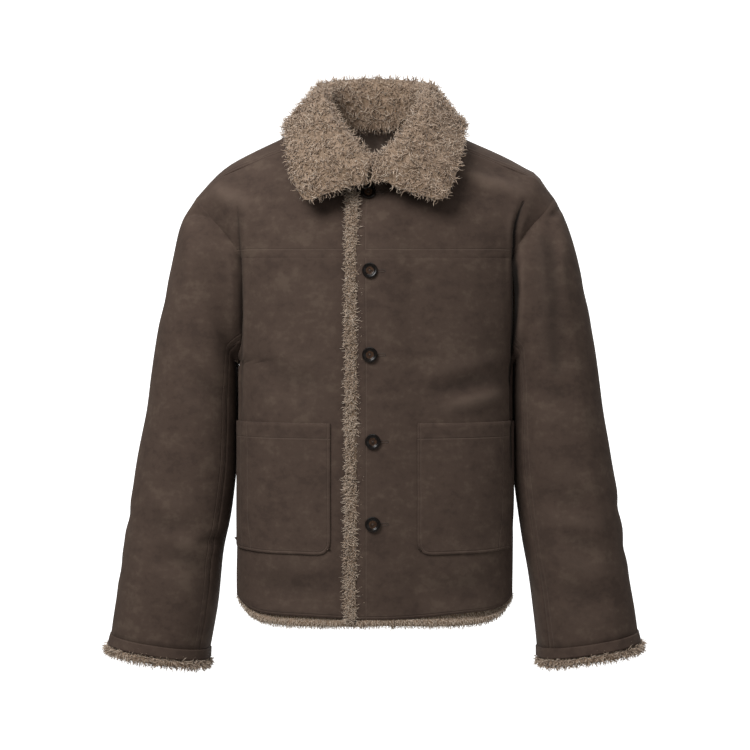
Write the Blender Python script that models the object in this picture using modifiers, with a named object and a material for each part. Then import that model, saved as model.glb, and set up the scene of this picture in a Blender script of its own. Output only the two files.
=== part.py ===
"""Sherpa jacket in its worn form: a hollow shell of suede-faced cloth, pile trims and five buttons.

Run it with blender --background --python part.py, or from Blender's text editor. Metres, +Z up.
The front faces -Y and +X is the viewer's right. The origin is the middle of the neck, at the height
where the shoulder seams reach the collar. Every cloth piece is an open sheet of points, worked out
from the tables below, that a Solidify modifier turns into a wall.
"""

import math

import bmesh
import bpy
import numpy as np


def table(columns, *rows):
    """A table with named columns, each of them an array with one value for each row."""
    return dict(zip(columns.split(), np.array(rows, float).T))


# ---------------------------------------------------------------- driving sizes
WALL = 0.003  # bonded cloth: suede face and the ground that its pile grows from
FACING_WALL = 0.0015
FACING_GAP = 0.0008  # its gap to the back, which it lies in
POCKET_WALL = 0.0025
SEAM = 0.0003  # gap between two pieces that meet
HALF_SEAM = SEAM / 2
CURVE_SEAM = 0.0007  # half gap where two walls meet on a curve, so that their inner sides clear
SLEEVE_SEAM = 0.00105
RIDGE_SEAM = 0.0011  # the same over the shoulder and down the armhole
PILE = 0.012  # reach of the pile on the collar

FINE_STEPS = 240  # points on a curve before it is split at a piece's columns
TORSO_POWER = 2.6  # 2 is an ellipse, more is squarer
MEAN_HALF_WIDTH = 0.1900
TORSO = table(
    "height half_width front back",
    (-0.660, 0.1925, 0.1260, 0.1150),
    (-0.560, 0.1925, 0.1300, 0.1190),
    (-0.450, 0.1910, 0.1310, 0.1210),
    (-0.360, 0.1905, 0.1310, 0.1220),
    (-0.305, 0.1905, 0.1310, 0.1220),
    (-0.230, 0.1940, 0.1300, 0.1210),
    (-0.166, 0.1970, 0.1260, 0.1170),
)
HEM_FRONT = -0.6530
HEM_SIDE_RISE = 0.0250
HEM_RISE_POWER = 7
HEM_RISE_FADE = 8  # how fast that rise dies out above the hem
YOKE_HEIGHT = -0.1690
YOKE_SIDE_RISE = 0.0035
PIT_HEIGHT = -0.3050
FRONT_CUT = 24  # degrees of the torso that the armhole takes in front of the side seam
BACK_CUT = 25

NECK = table(
    "angle half_width depth height",
    (-40, 0.0980, 0.0940, -0.0560),
    (0, 0.0980, 0.0920, -0.0630),
    (30, 0.0990, 0.0890, -0.0470),
    (62, 0.1010, 0.0860, -0.0060),
    (90, 0.1030, 0.0800, 0.0220),
    (125, 0.1010, 0.0770, 0.0260),
    (180, 0.0980, 0.0770, 0.0220),
)
NECK_SEAM_ANGLE = 62  # where the shoulder seam leaves the neck
SHOULDER_SEAM = table(
    "along x y z",
    (0.00, 0.0892, -0.0404, -0.0080),
    (0.25, 0.1280, -0.0400, -0.0165),
    (0.55, 0.1790, -0.0340, -0.0370),
    (0.80, 0.2200, -0.0270, -0.0555),
    (1.00, 0.2480, -0.0190, -0.0830),
)

# Which way the cloth runs at the top of the yoke and of the back, from the front to the back
TOP_RUN = table(
    "across x y z",
    (0.00, 0.00, 0.40, 0.92),
    (0.25, 0.00, 0.60, 0.80),
    (0.42, 0.00, 0.75, 0.75),
    (0.70, 0.03, 0.78, 0.66),
    (1.00, 0.14, 0.88, 0.34),
)
# Which way the back runs where it reaches the neck, from the shoulder seam to the centre
BACK_NECK_RUN = table(
    "angle x y z",
    (62, -0.62, -0.50, -0.60),
    (90, -0.62, -0.62, 0.05),
    (125, -0.40, -0.75, 0.35),
    (180, 0.00, -0.80, 0.50),
)
SHOULDER_PULL = 1.7  # how far the back rolls over the shoulder before it falls

# Where the closing edges lie, past the centre front
TOP_FRONT_PAST = 0.0235
UNDER_FRONT_PAST = 0.0200
OVERLAP_RISE = 0.0080  # how far the upper front stands off the lower one
OVERLAP_FADE = (0.012, 0.060)
NECK_RISE_SHARE = 0.6  # how much of that is left where it reaches the neck

FRONT_COLUMNS = (0, 0.09, 0.18, 0.28, 0.325, 0.42, 0.53, 0.64, 0.75, 0.86, 0.915, 1)
POCKET_FIRST, POCKET_LAST = 3, 10
POCKET_CORNER_UP = 0.55  # shares of a face that a pocket's lower corner is drawn up and in
POCKET_CORNER_IN = 0.25
NECK_COLUMN = 5  # the column of the yoke that runs to the neck end of the shoulder seam
PIT_SHARE = 0.696
ARMHOLE_SHARES = (0.06, 0.22, 0.45, 0.72, 1)
FRONT_ROWS = (0, 0.09, 0.179, 0.215, 0.30, 0.38, 0.46, 0.54, 0.62)
POCKET_BOTTOM, POCKET_TOP = 2, 7
BACK_ROWS = (0, 0.11, 0.22, 0.34, 0.46, 0.58)
YOKE_ROWS = (0, 0.2, 0.4, 0.6, 0.8, 1)
BACK_YOKE_ROWS = (0, 0.17, 0.34, 0.5, 0.65, 0.78, 0.89, 1)
BACK_COLUMNS = (0, 0.12, 0.24, 0.36, 0.46, 0.58, 0.72, 0.86, 1)
BACK_NECK_COLUMN = 4

SLEEVE_POWER = 2.25
SLEEVE_RIGHT = table(
    "outer_x outer_z inner_x inner_z front back",
    (0.2665, -0.1130, 0.1925, -0.3110, 0.0760, 0.0740),
    (0.2800, -0.1560, 0.1928, -0.3200, 0.0800, 0.0770),
    (0.2930, -0.2163, 0.1930, -0.3380, 0.0800, 0.0740),
    (0.3060, -0.2856, 0.1930, -0.3670, 0.0790, 0.0690),
    (0.3170, -0.3610, 0.1930, -0.4100, 0.0790, 0.0620),
    (0.3280, -0.4256, 0.1940, -0.4600, 0.0790, 0.0560),
    (0.3400, -0.5070, 0.2020, -0.5300, 0.0800, 0.0480),
    (0.3490, -0.5680, 0.2110, -0.5860, 0.0820, 0.0410),
    (0.3570, -0.6200, 0.2190, -0.6360, 0.0830, 0.0350),
    (0.3670, -0.6820, 0.2270, -0.7040, 0.0840, 0.0280),
)
SLEEVE_LEFT = table(
    "outer_x outer_z inner_x inner_z front back",
    (0.2650, -0.1050, 0.1925, -0.3110, 0.0760, 0.0740),
    (0.2795, -0.1540, 0.1928, -0.3200, 0.0800, 0.0770),
    (0.2945, -0.2240, 0.1930, -0.3380, 0.0800, 0.0740),
    (0.3085, -0.3000, 0.1930, -0.3670, 0.0790, 0.0690),
    (0.3195, -0.3752, 0.1930, -0.4100, 0.0790, 0.0620),
    (0.3300, -0.4300, 0.1940, -0.4600, 0.0790, 0.0560),
    (0.3425, -0.5110, 0.2020, -0.5250, 0.0800, 0.0480),
    (0.3505, -0.5680, 0.2125, -0.5750, 0.0820, 0.0410),
    (0.3585, -0.6200, 0.2180, -0.6360, 0.0830, 0.0350),
    (0.3685, -0.6850, 0.2295, -0.7060, 0.0840, 0.0280),
)
SLEEVE_FRONT_SEAM = 8  # ring points from the shoulder point, forwards, to the front seam
SLEEVE_BACK_SEAM = 7  # and backwards to the back seam
BAND_HEIGHT = 0.0130
BAND_FLARE = 0.0030

# The collar's section at stations from its front end to the centre back: neck seam, roll, edge
COLLAR = table(
    "neck_angle roll_x roll_y roll_z edge_x edge_y edge_z",
    (0, 0.0000, -0.1080, -0.0400, 0.0000, -0.1210, -0.0700),
    (6, 0.0120, -0.1090, -0.0330, 0.0210, -0.1240, -0.0740),
    (14, 0.0220, -0.1070, -0.0230, 0.0440, -0.1290, -0.0840),
    (22, 0.0310, -0.1020, -0.0130, 0.0680, -0.1320, -0.0915),
    (32, 0.0400, -0.0930, -0.0010, 0.0920, -0.1310, -0.0950),
    (44, 0.0510, -0.0800, 0.0150, 0.1090, -0.1140, -0.0660),
    (58, 0.0630, -0.0580, 0.0400, 0.1180, -0.0830, -0.0280),
    (76, 0.0740, -0.0250, 0.0630, 0.1210, -0.0350, 0.0070),
    (100, 0.0765, 0.0200, 0.0760, 0.1180, 0.0300, 0.0195),
    (130, 0.0625, 0.0600, 0.0840, 0.0920, 0.0900, 0.0080),
    (156, 0.0335, 0.0800, 0.0880, 0.0500, 0.1180, -0.0020),
    (180, 0.0000, 0.0860, 0.0890, 0.0000, 0.1270, -0.0060),
)
COLLAR_STATIONS = 12  # from a front end to the centre back
COLLAR_FRONT_SHIFT = 0.0147  # how far over the centre the ends slant, from the roll to the edge
COLLAR_END_GAP = 0.0016
ROLL_HALF_WIDTH = 0.0110
ROLL_DROP = 0.0110
COLLAR_SHARES = (0, 0.2, 0.4, 0.5, 0.6, 0.74, 0.88, 1)
COLLAR_WALL = 0.0025
COLLAR_SEAM = 0.0012  # gap between the collar and the neck seam
COLLAR_TURN = 0.0060  # how far the pile reaches past the cloth under it, at the ends and the edge
PILE_GAP = 0.00075

FACING_ROWS = 4  # rows of the back, from the neck down, that the facing covers
FACING_COLUMNS = 3  # and columns to each side of its centre
FACING_DROP = 0.0040  # how far it stays below the neck seam

# Pile sections: distance in from the outer face of the cloth, and distance past its edge
EDGE_PILE = table(
    "inward past",
    (0.0038, -0.011),
    (0.0038, 0.0004),
    (0.0000, 0.0020),
    (-0.0015, 0.0085),
    (0.0035, 0.0130),
    (0.0090, 0.0110),
    (0.0100, -0.002),
    (0.0085, -0.011),
)
LOW_PILE_END = 0.0360  # left of the closing edge the hem pile stays below the cloth up to here
LOW_PILE_PAST = 0.0014  # and on the right up to this far past the edge of the lower front
LOW_PILE_STEP = 0.0020
CLOSING_PILE_WIDTH = 0.0190
CLOSING_PILE_HEIGHT = 0.0090
CLOSING_PILE_GAP = 0.0014  # from the closing edge
PILE_STAND = 0.0009  # and from the front below
CLOSING_PILE_ROWS = (0, 0.2, 0.4, 0.6, 0.8)  # shares of the yoke's height, up to the collar
# Across the strip, from the closing edge outwards, and how much of its height the pile has there
CLOSING_PILE_SECTION = ((0, 0), (0.9, 0), (1.0, 0.3), (0.85, 0.8), (0.5, 1.0), (0, 0.85))

BUTTON_HEIGHTS = (-0.0795, -0.1865, -0.2990, -0.4150, -0.5255)
BUTTON_X = (-0.0090, -0.0070, -0.0070, -0.0030, -0.0030)
BUTTON_RADIUS = 0.0105
BUTTON_SECTION = table(
    "radius height",
    (0.0078, 0.0000),
    (0.0105, 0.0016),
    (0.0105, 0.0030),
    (0.0093, 0.0040),
    (0.0074, 0.0038),
    (0.0058, 0.0026),
    (0.0000, 0.0022),
)
BUTTON_STEPS = 20
BUTTON_STAND = 0.0009  # thread between the button and the cloth

SUEDE = ("suede_cloth", (0.075, 0.055, 0.042), 0.85)
FACING = ("facing_cloth", (0.110, 0.085, 0.068), 0.80)
FLEECE = ("curly_pile", (0.330, 0.245, 0.185), 0.95)
HORN = ("dark_horn", (0.022, 0.013, 0.009), 0.35)


# ---------------------------------------------------------------- curves and sections
def through(knots, values, at):
    """The smooth curve through the values at the knots, read at the places asked for."""
    knots = np.asarray(knots, float)
    values = np.asarray(values, float)
    at = np.clip(np.asarray(at, float), knots[0], knots[-1])
    slopes = np.gradient(values, knots, axis=0)
    first = np.clip(np.searchsorted(knots, at, side="right") - 1, 0, len(knots) - 2)
    step = knots[first + 1] - knots[first]
    share = (at - knots[first]) / step
    more = (...,) + (None,) * (values.ndim - 1)
    share = share[more]
    step = step[more]
    return (
        (1 + 2 * share) * (1 - share) ** 2 * values[first]
        + share * (1 - share) ** 2 * step * slopes[first]
        + share**2 * (3 - 2 * share) * values[first + 1]
        - share**2 * (1 - share) * step * slopes[first + 1]
    )


def read(columns, key, names, at):
    """The named columns of a table, read smoothly at places along its key column."""
    return [through(columns[key], columns[name], at) for name in names.split()]


def spaced(points, shares):
    """Points at the given shares of the length of a fine line of points."""
    steps = np.linalg.norm(np.diff(points, axis=0), axis=1)
    length = np.concatenate([[0], np.cumsum(steps)])
    places = np.array(shares) * length[-1]
    return np.stack([np.interp(places, length, points[:, k]) for k in range(3)], axis=1)


def at_x(line, places):
    """Points of a line, whose x grows along it, at the given x."""
    return np.stack([np.interp(places, line[:, 0], line[:, k]) for k in range(3)], axis=1)


def power_round(angle, power):
    """Sine and cosine of a superellipse's angle in degrees."""
    sine = np.sin(np.radians(angle))
    cosine = np.cos(np.radians(angle))
    return (
        np.sign(sine) * np.abs(sine) ** (2 / power),
        np.sign(cosine) * np.abs(cosine) ** (2 / power),
    )


def unit(vectors):
    return vectors / np.linalg.norm(vectors, axis=-1, keepdims=True)


def torso(angle, height):
    """Points of the torso's outer face: angle 0 is the centre front, 90 the side, 180 the back."""
    half_width, front, back = read(TORSO, "height", "half_width front back", height)
    sine, cosine = power_round(angle, TORSO_POWER)
    return np.stack([half_width * sine, -np.where(cosine > 0, front, back) * cosine, height], axis=-1)


def panel_height(angle, share):
    """Height at a share of the way from the hem to the yoke line."""
    side = np.abs(np.sin(np.radians(angle)))
    hem_rise = HEM_SIDE_RISE * side**HEM_RISE_POWER * (1 - share) ** HEM_RISE_FADE
    yoke_rise = YOKE_SIDE_RISE * side**2 * share
    return HEM_FRONT + share * (YOKE_HEIGHT - HEM_FRONT) + hem_rise + yoke_rise


def armhole_cut(share):
    """How much of its full cut the armhole has at this share of the panel's height."""
    climb = np.clip((share - PIT_SHARE) / (1 - PIT_SHARE), 0, 1)
    return math.sqrt(1 - (1 - climb) ** 2)


def front_start(past):
    """The torso's angle at a closing edge that lies past the centre front."""
    return -math.degrees(math.asin((past / MEAN_HALF_WIDTH) ** (TORSO_POWER / 2)))


def overlap_rise(x):
    """How far the upper front stands forward, fading out from the closing edge to the side."""
    near, far = OVERLAP_FADE
    share = np.clip((x - near) / (far - near), 0, 1)
    return OVERLAP_RISE * (1 - share**2 * (3 - 2 * share))


def front_rows():
    """The rows of a front, as shares of its height."""
    return [*FRONT_ROWS, PIT_SHARE, *(PIT_SHARE + (1 - PIT_SHARE) * s for s in ARMHOLE_SHARES)]


def back_rows():
    return [*BACK_ROWS, PIT_SHARE, *(PIT_SHARE + (1 - PIT_SHARE) * s for s in ARMHOLE_SHARES)]


def front_row(share, past):
    """One row of a front, on the wearer's left, from its closing edge to the side or the armhole."""
    angles = np.linspace(front_start(past), 90 - FRONT_CUT * armhole_cut(share), FINE_STEPS)
    return spaced(torso(angles, panel_height(angles, share)), FRONT_COLUMNS)


def back_row(share):
    """One row of the back, from its centre to the side or the armhole."""
    angles = np.linspace(180, 90 + BACK_CUT * armhole_cut(share), FINE_STEPS)
    return spaced(torso(angles, panel_height(angles, share)), BACK_COLUMNS)


def neck(angle):
    """Points of the neck seam: angle 0 is the centre front, 180 the centre back."""
    half_width, depth, height = read(NECK, "angle", "half_width depth height", angle)
    sine = np.sin(np.radians(angle))
    cosine = np.cos(np.radians(angle))
    return np.stack([half_width * sine, -depth * cosine, height], axis=-1)


def top_line(columns, neck_column, neck_start):
    """The neck seam and then the shoulder seam, at a panel's columns."""
    columns = np.array(columns)
    turn = columns[neck_column]
    neck_part = neck(neck_start + (NECK_SEAM_ANGLE - neck_start) * columns[: neck_column + 1] / turn)
    along = (columns[neck_column + 1 :] - turn) / (1 - turn)
    shoulder_part = np.stack(read(SHOULDER_SEAM, "along", "x y z", along), axis=-1)
    return np.concatenate([neck_part, shoulder_part])


def swept(bottom, top, bottom_run, top_run, shares, top_pull=1.0):
    """Rows from the bottom line to the top line that leave and arrive in the given directions."""
    chord = np.linalg.norm(top - bottom, axis=1, keepdims=True)
    top_chord = chord * top_pull
    rows = []
    for share in shares:
        rows.append(
            (1 + 2 * share) * (1 - share) ** 2 * bottom
            + share * (1 - share) ** 2 * chord * unit(bottom_run)
            + share**2 * (3 - 2 * share) * top
            - share**2 * (1 - share) * top_chord * unit(top_run)
        )
    return np.array(rows)


def run_at_top(columns):
    return np.stack(read(TOP_RUN, "across", "x y z", np.array(columns)), axis=-1)


def yoke_sheet(past, shares=YOKE_ROWS):
    """The front yoke on the wearer's left, rows from the yoke line up."""
    columns = np.array(FRONT_COLUMNS)
    start = -math.degrees(math.asin(past / NECK["half_width"][1]))
    spread = columns[:, None] ** 2
    bottom_run = np.array([0.0, 0.10, 1.0]) + spread * np.array([0.42, 0.22, 0.0])
    return swept(
        front_row(1, past),
        top_line(FRONT_COLUMNS, NECK_COLUMN, start),
        bottom_run,
        run_at_top(columns),
        shares,
    )


def upper_yoke_sheet():
    """The yoke of the upper front, which stands off the lower one less and less towards the neck."""
    yoke = yoke_sheet(TOP_FRONT_PAST)
    yoke[..., 1] -= overlap_rise(yoke[..., 0]) * np.linspace(1, NECK_RISE_SHARE, len(yoke))[:, None]
    return yoke


def back_yoke_sheet(shares=BACK_YOKE_ROWS):
    """The back above the yoke line, over the shoulder to its seam, on the wearer's left."""
    columns = np.array(BACK_COLUMNS)
    turn = columns[BACK_NECK_COLUMN]
    spread = columns[:, None] ** 2
    bottom_run = np.array([0.0, -0.05, 1.0]) + spread * np.array([0.48, 0.0, 0.0])
    seam_run = -run_at_top(NECK_COLUMN_SHARE + (columns - turn) / (1 - turn) * (1 - NECK_COLUMN_SHARE))
    angles = 180 + (NECK_SEAM_ANGLE - 180) * np.clip(columns / turn, 0, 1)
    neck_run = np.stack(read(BACK_NECK_RUN, "angle", "x y z", angles), axis=-1)
    top_run = np.where(columns[:, None] <= turn, neck_run, seam_run)
    pull = 1 + (SHOULDER_PULL - 1) * np.clip(columns / turn, 0, 1)[:, None] ** 4
    top = top_line(BACK_COLUMNS, BACK_NECK_COLUMN, 180)
    return swept(back_row(1), top, bottom_run, top_run, shares, pull)


NECK_COLUMN_SHARE = FRONT_COLUMNS[NECK_COLUMN]


def front_sheet(past, rise):
    """The lower front on the wearer's left, rows from the hem up."""
    sheet = np.array([front_row(share, past) for share in front_rows()])
    if rise:
        sheet[..., 1] -= overlap_rise(sheet[..., 0])
    return sheet


def back_sheet():
    """The whole back: rows from the hem over the shoulders, columns from one side to the other."""
    lower = np.array([back_row(share) for share in back_rows()])
    half = np.concatenate([lower, back_yoke_sheet()[1:]])
    other = half[:, :0:-1] * (-1, 1, 1)
    return np.concatenate([other, half], axis=1)


def armhole():
    """The armhole on the wearer's left, from the shoulder point down the front, under the arm and up."""
    lower_rows = len(ARMHOLE_SHARES) + 1
    front = front_sheet(TOP_FRONT_PAST, False)[-lower_rows:, -1]
    yoke = yoke_sheet(TOP_FRONT_PAST)[1:, -1]
    half_back = np.array([back_row(share) for share in back_rows()])[-lower_rows:, -1]
    over = back_yoke_sheet()[1:-1, -1]
    return np.concatenate([yoke[::-1], front[::-1], half_back[1:], over])


def ring_angles(loop):
    """Angles of the ring points: 0 at the shoulder point, 180 under the arm, forwards first."""
    pit = len(YOKE_ROWS) - 1 + len(ARMHOLE_SHARES)
    closed = np.concatenate([loop, loop[:1]])
    length = np.concatenate([[0], np.cumsum(np.linalg.norm(np.diff(closed, axis=0), axis=1))])
    front = 180 * length[: pit + 1] / length[pit]
    back = 180 + 180 * (length[pit + 1 : -1] - length[pit]) / (length[-1] - length[pit])
    return np.concatenate([front, back])


def sleeve_rings(stations):
    """The sleeve on the wearer's left as rings of points, from the armhole to the cuff seam."""
    loop = armhole()
    sine, cosine = power_round(ring_angles(loop), SLEEVE_POWER)
    rings = [loop]
    for k in range(len(stations["outer_x"])):
        outer = np.array([stations["outer_x"][k], 0, stations["outer_z"][k]])
        inner = np.array([stations["inner_x"][k], 0, stations["inner_z"][k]])
        ring = (outer + inner) / 2 + np.outer(cosine, (outer - inner) / 2)
        ring[:, 1] = -np.where(sine > 0, stations["front"][k], stations["back"][k]) * sine
        rings.append(ring)
    return np.array(rings)


def normals(sheet, closed=False):
    """Outward normals of a sheet whose columns run to the right and whose rows run up."""
    if closed:
        across = np.roll(sheet, -1, axis=1) - np.roll(sheet, 1, axis=1)
    else:
        across = np.gradient(sheet, axis=1)
    return unit(np.cross(across, np.gradient(sheet, axis=0)))


def trimmed(sheet, first=0.0, last=0.0, bottom=0.0, top=0.0):
    """The sheet with its edges drawn in by the given gaps, first and last being its end columns."""
    sheet = sheet.copy()
    for edge, inner, gap in (
        (sheet[:, 0], sheet[:, 1].copy(), first),
        (sheet[:, -1], sheet[:, -2].copy(), last),
        (sheet[0], sheet[1].copy(), bottom),
        (sheet[-1], sheet[-2].copy(), top),
    ):
        edge += unit(inner - edge) * gap
    return sheet


# ---------------------------------------------------------------- Blender objects
def material(finish):
    """The Principled material of a finish, made once."""
    name, colour, roughness = finish
    if name in bpy.data.materials:
        return bpy.data.materials[name]
    made = bpy.data.materials.new(name)
    made.use_nodes = True
    shader = made.node_tree.nodes["Principled BSDF"]
    shader.inputs["Base Color"].default_value = (*colour, 1)
    shader.inputs["Roughness"].default_value = roughness
    return made


def place(name, mesh, finish, collection):
    """A named object in the jacket's collection, under its empty."""
    made = bpy.data.objects.new(name, mesh)
    collection.objects.link(made)
    made.parent = bpy.data.objects["jacket_root"]
    mesh.materials.append(material(finish))
    mesh.shade_smooth()
    return made


def loft(name, sheet, finish, collection, closed=False, solid=False, wall=WALL, outward=False, even=True):
    """A sheet of points as a mesh of four-sided faces, or a closed bar where solid, with its wall."""
    rows, columns = sheet.shape[:2]
    shape = bmesh.new()
    points = [[shape.verts.new(point) for point in row] for row in sheet.tolist()]
    last = columns if closed or solid else columns - 1
    for low, high in zip(points, points[1:]):
        for k in range(last):
            after = (k + 1) % columns
            shape.faces.new((low[k], low[after], high[after], high[k]))
    if solid:
        shape.faces.new(points[0][::-1])
        shape.faces.new(points[-1])
        bmesh.ops.recalc_face_normals(shape, faces=shape.faces)
    else:
        # Every sheet is split the same way, so that two sheets a seam apart stay so between their points.
        bmesh.ops.triangulate(shape, faces=shape.faces, quad_method="FIXED")
    mesh = bpy.data.meshes.new(name)
    shape.to_mesh(mesh)
    shape.free()
    made = place(name, mesh, finish, collection)
    if not solid:
        thick = made.modifiers.new("wall", "SOLIDIFY")
        thick.thickness = wall
        thick.offset = 1 if outward else -1
        thick.use_even_offset = even
    return made


def pile_ring(name, sections, collection):
    """A closed ring of pile: the last section joins the first."""
    shape = bmesh.new()
    points = [[shape.verts.new(point) for point in row] for row in sections.tolist()]
    count = sections.shape[1]
    for k, row in enumerate(points):
        following = points[(k + 1) % len(points)]
        for m in range(count):
            after = (m + 1) % count
            shape.faces.new((row[m], row[after], following[after], following[m]))
    bmesh.ops.recalc_face_normals(shape, faces=shape.faces)
    mesh = bpy.data.meshes.new(name)
    shape.to_mesh(mesh)
    shape.free()
    return place(name, mesh, FLEECE, collection)


def on_side(sheet, side):
    """The sheet on its side of the jacket: 1 is the viewer's right, -1 the left, mirrored."""
    if side > 0:
        return sheet
    return sheet[:, ::-1] * (-1, 1, 1)


# ---------------------------------------------------------------- pieces
def make_fronts(collection):
    for word, side, past, rise in (
        ("right", 1, TOP_FRONT_PAST, True),
        ("left", -1, UNDER_FRONT_PAST, False),
    ):
        lower = front_sheet(past, rise)
        yoke = upper_yoke_sheet() if rise else yoke_sheet(past)
        make_pocket(word, side, lower, collection)
        lower = trimmed(lower, last=CURVE_SEAM, top=SEAM)
        yoke = trimmed(yoke, last=RIDGE_SEAM, bottom=SEAM, top=RIDGE_SEAM)
        loft(f"front_{word}", on_side(lower, side), SUEDE, collection)
        loft(f"yoke_{word}", on_side(yoke, side), SUEDE, collection)


def make_pocket(word, side, lower, collection):
    """A patch pocket from the front's own points, moved out, its lower corners rounded."""
    patch = (lower + normals(lower) * SEAM)[POCKET_BOTTOM : POCKET_TOP + 1, POCKET_FIRST : POCKET_LAST + 1]
    patch = patch.copy()
    for column, inner in ((0, 1), (-1, -2)):
        corner = patch[0, column]
        corner += POCKET_CORNER_UP * (patch[1, column] - corner)
        corner += POCKET_CORNER_IN * (patch[0, inner] - corner)
    loft(f"pocket_{word}", on_side(patch, side), SUEDE, collection, wall=POCKET_WALL, outward=True)


def make_back(collection):
    sheet = back_sheet()
    sheet = trimmed(sheet, first=CURVE_SEAM, last=CURVE_SEAM, top=RIDGE_SEAM)
    loft("back", sheet[:, ::-1], SUEDE, collection)


def make_sleeves(collection):
    for word, side, stations in (("right", 1, SLEEVE_RIGHT), ("left", -1, SLEEVE_LEFT)):
        rings = sleeve_rings(stations)
        count = rings.shape[1]
        top_columns = np.arange(-SLEEVE_BACK_SEAM, SLEEVE_FRONT_SEAM + 1) % count
        under_columns = np.arange(SLEEVE_FRONT_SEAM, count - SLEEVE_BACK_SEAM + 1) % count
        for part, columns, gap in (("top", top_columns, RIDGE_SEAM), ("under", under_columns, HALF_SEAM)):
            sheet = rings[::-1, columns]
            sheet = trimmed(sheet, first=SLEEVE_SEAM, last=SLEEVE_SEAM, bottom=HALF_SEAM, top=gap)
            loft(f"sleeve_{part}_{word}", on_side(sheet[:, ::-1], side), SUEDE, collection)
        make_cuff(word, side, rings, collection)


def edge_sections(edge, inward, past, lowest_start=None):
    """Pile sections along an edge, from its points and the directions in and past the edge."""
    sections = []
    for depth, reach in zip(EDGE_PILE["inward"], EDGE_PILE["past"]):
        reach = np.full((len(edge), 1), reach)
        if lowest_start is not None:
            reach = np.maximum(reach, lowest_start)
        sections.append(edge + inward * depth + past * reach)
    return np.array(sections).swapaxes(0, 1)


def make_cuff(word, side, rings, collection):
    """The turned band that ends the sleeve, and the pile that shows below it."""
    seam = rings[-1]
    down = unit(seam.mean(axis=0) - rings[-2].mean(axis=0))
    out = normals(np.array([seam + down * BAND_HEIGHT, seam])[:, ::-1], closed=True)[0, ::-1]
    edge = seam + down * BAND_HEIGHT + out * BAND_FLARE
    band = np.array([edge, seam + down * HALF_SEAM + out * BAND_FLARE / 2])
    loft(f"cuff_band_{word}", on_side(band[:, ::-1], side), SUEDE, collection, closed=True)
    up = unit(band[1] - edge)
    sections = edge_sections(edge, -out, -up)
    if side < 0:
        sections = sections * (-1, 1, 1)
    pile_ring(f"cuff_pile_{word}", sections, collection)


def make_hem_pile(collection):
    """One strip of pile round the hem, open at the front where the fronts overlap."""
    right = front_sheet(TOP_FRONT_PAST, True)[0]
    left = front_sheet(UNDER_FRONT_PAST, False)[0] * (-1, 1, 1)
    back = back_sheet()[0]
    low_end = UNDER_FRONT_PAST + LOW_PILE_PAST
    full_start = low_end + LOW_PILE_STEP
    x = right[:, 0]
    right = at_x(right, [*x[x < low_end], low_end, full_start, *x[x > full_start]])
    x = left[:, 0]
    left = at_x(left[::-1], [-TOP_FRONT_PAST - LOW_PILE_STEP, -LOW_PILE_END, *x[x < -LOW_PILE_END]])
    line = np.concatenate([right[:-1], back[::-1], left[::-1][1:]])
    inward = unit(np.cross(np.gradient(line, axis=0), (0, 0, -1.0)))
    low = (line[:, 0] > -LOW_PILE_END - SEAM) & (line[:, 0] < low_end + SEAM) & (line[:, 1] < 0)
    lowest_start = np.where(low, 2 * SEAM, -1.0)[:, None]
    sections = edge_sections(line, inward, np.array((0, 0, -1.0)), lowest_start)
    loft("hem_pile", sections, FLEECE, collection, solid=True)


def make_front_edge_pile(collection):
    """The pile that shows beside the closing edge, made from the points of the front below it."""
    yoke = yoke_sheet(UNDER_FRONT_PAST, CLOSING_PILE_ROWS)
    under = np.concatenate([front_sheet(UNDER_FRONT_PAST, False)[:-1], yoke])
    rows = []
    for across, rise in CLOSING_PILE_SECTION:
        x = TOP_FRONT_PAST + CLOSING_PILE_GAP + CLOSING_PILE_WIDTH * across
        line = np.array([at_x(row, [x])[0] for row in under]) * (-1, 1, 1)
        line[:, 1] -= PILE_STAND + CLOSING_PILE_HEIGHT * rise
        rows.append(line)
    loft("front_edge_pile", np.array(rows).swapaxes(0, 1), FLEECE, collection, solid=True)


def collar_sheet():
    """The collar's sheet: rows from the neck seam over the roll to the edge, columns round the neck."""
    stations = np.linspace(0, len(COLLAR["neck_angle"]) - 1, COLLAR_STATIONS)
    knots = np.arange(len(COLLAR["neck_angle"]))
    columns = {name: through(knots, values, stations) for name, values in COLLAR.items()}
    half = collar_half(columns)
    right = half.copy()
    left = half * (-1, 1, 1)
    slide = np.linspace(1, 0, COLLAR_STATIONS) ** 4
    past_roll = np.clip(2 * np.array(COLLAR_SHARES) - 1, 0, 1)[:, None]
    left[..., 0] -= COLLAR_FRONT_SHIFT * slide * past_roll + COLLAR_END_GAP * (slide == 1)
    right[..., 0] -= COLLAR_FRONT_SHIFT * slide * past_roll
    return np.concatenate([left, right[:, -2::-1]], axis=1)


def collar_half(columns):
    seam = neck(columns["neck_angle"])
    roll = np.stack([columns["roll_x"], columns["roll_y"], columns["roll_z"]], axis=-1)
    edge = np.stack([columns["edge_x"], columns["edge_y"], columns["edge_z"]], axis=-1)
    out = (edge - seam) * (1, 1, 0)
    out = unit(out)
    drop = np.array((0, 0, ROLL_DROP))
    inner = roll - out * ROLL_HALF_WIDTH - drop
    outer = roll + out * ROLL_HALF_WIDTH - drop
    knots = (0, 0.4, 0.5, 0.6, 1)
    return through(knots, np.array([seam, inner, roll, outer, edge]), COLLAR_SHARES)


def make_collar(collection):
    sheet = trimmed(collar_sheet(), bottom=COLLAR_SEAM)
    under = trimmed(sheet, first=COLLAR_TURN, last=COLLAR_TURN, top=COLLAR_TURN)
    loft("collar_under", under, SUEDE, collection, wall=COLLAR_WALL)
    pile = trimmed(sheet, bottom=COLLAR_TURN) + normals(sheet) * PILE_GAP
    loft("collar_pile", pile, FLEECE, collection, wall=PILE, outward=True, even=False)


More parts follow.
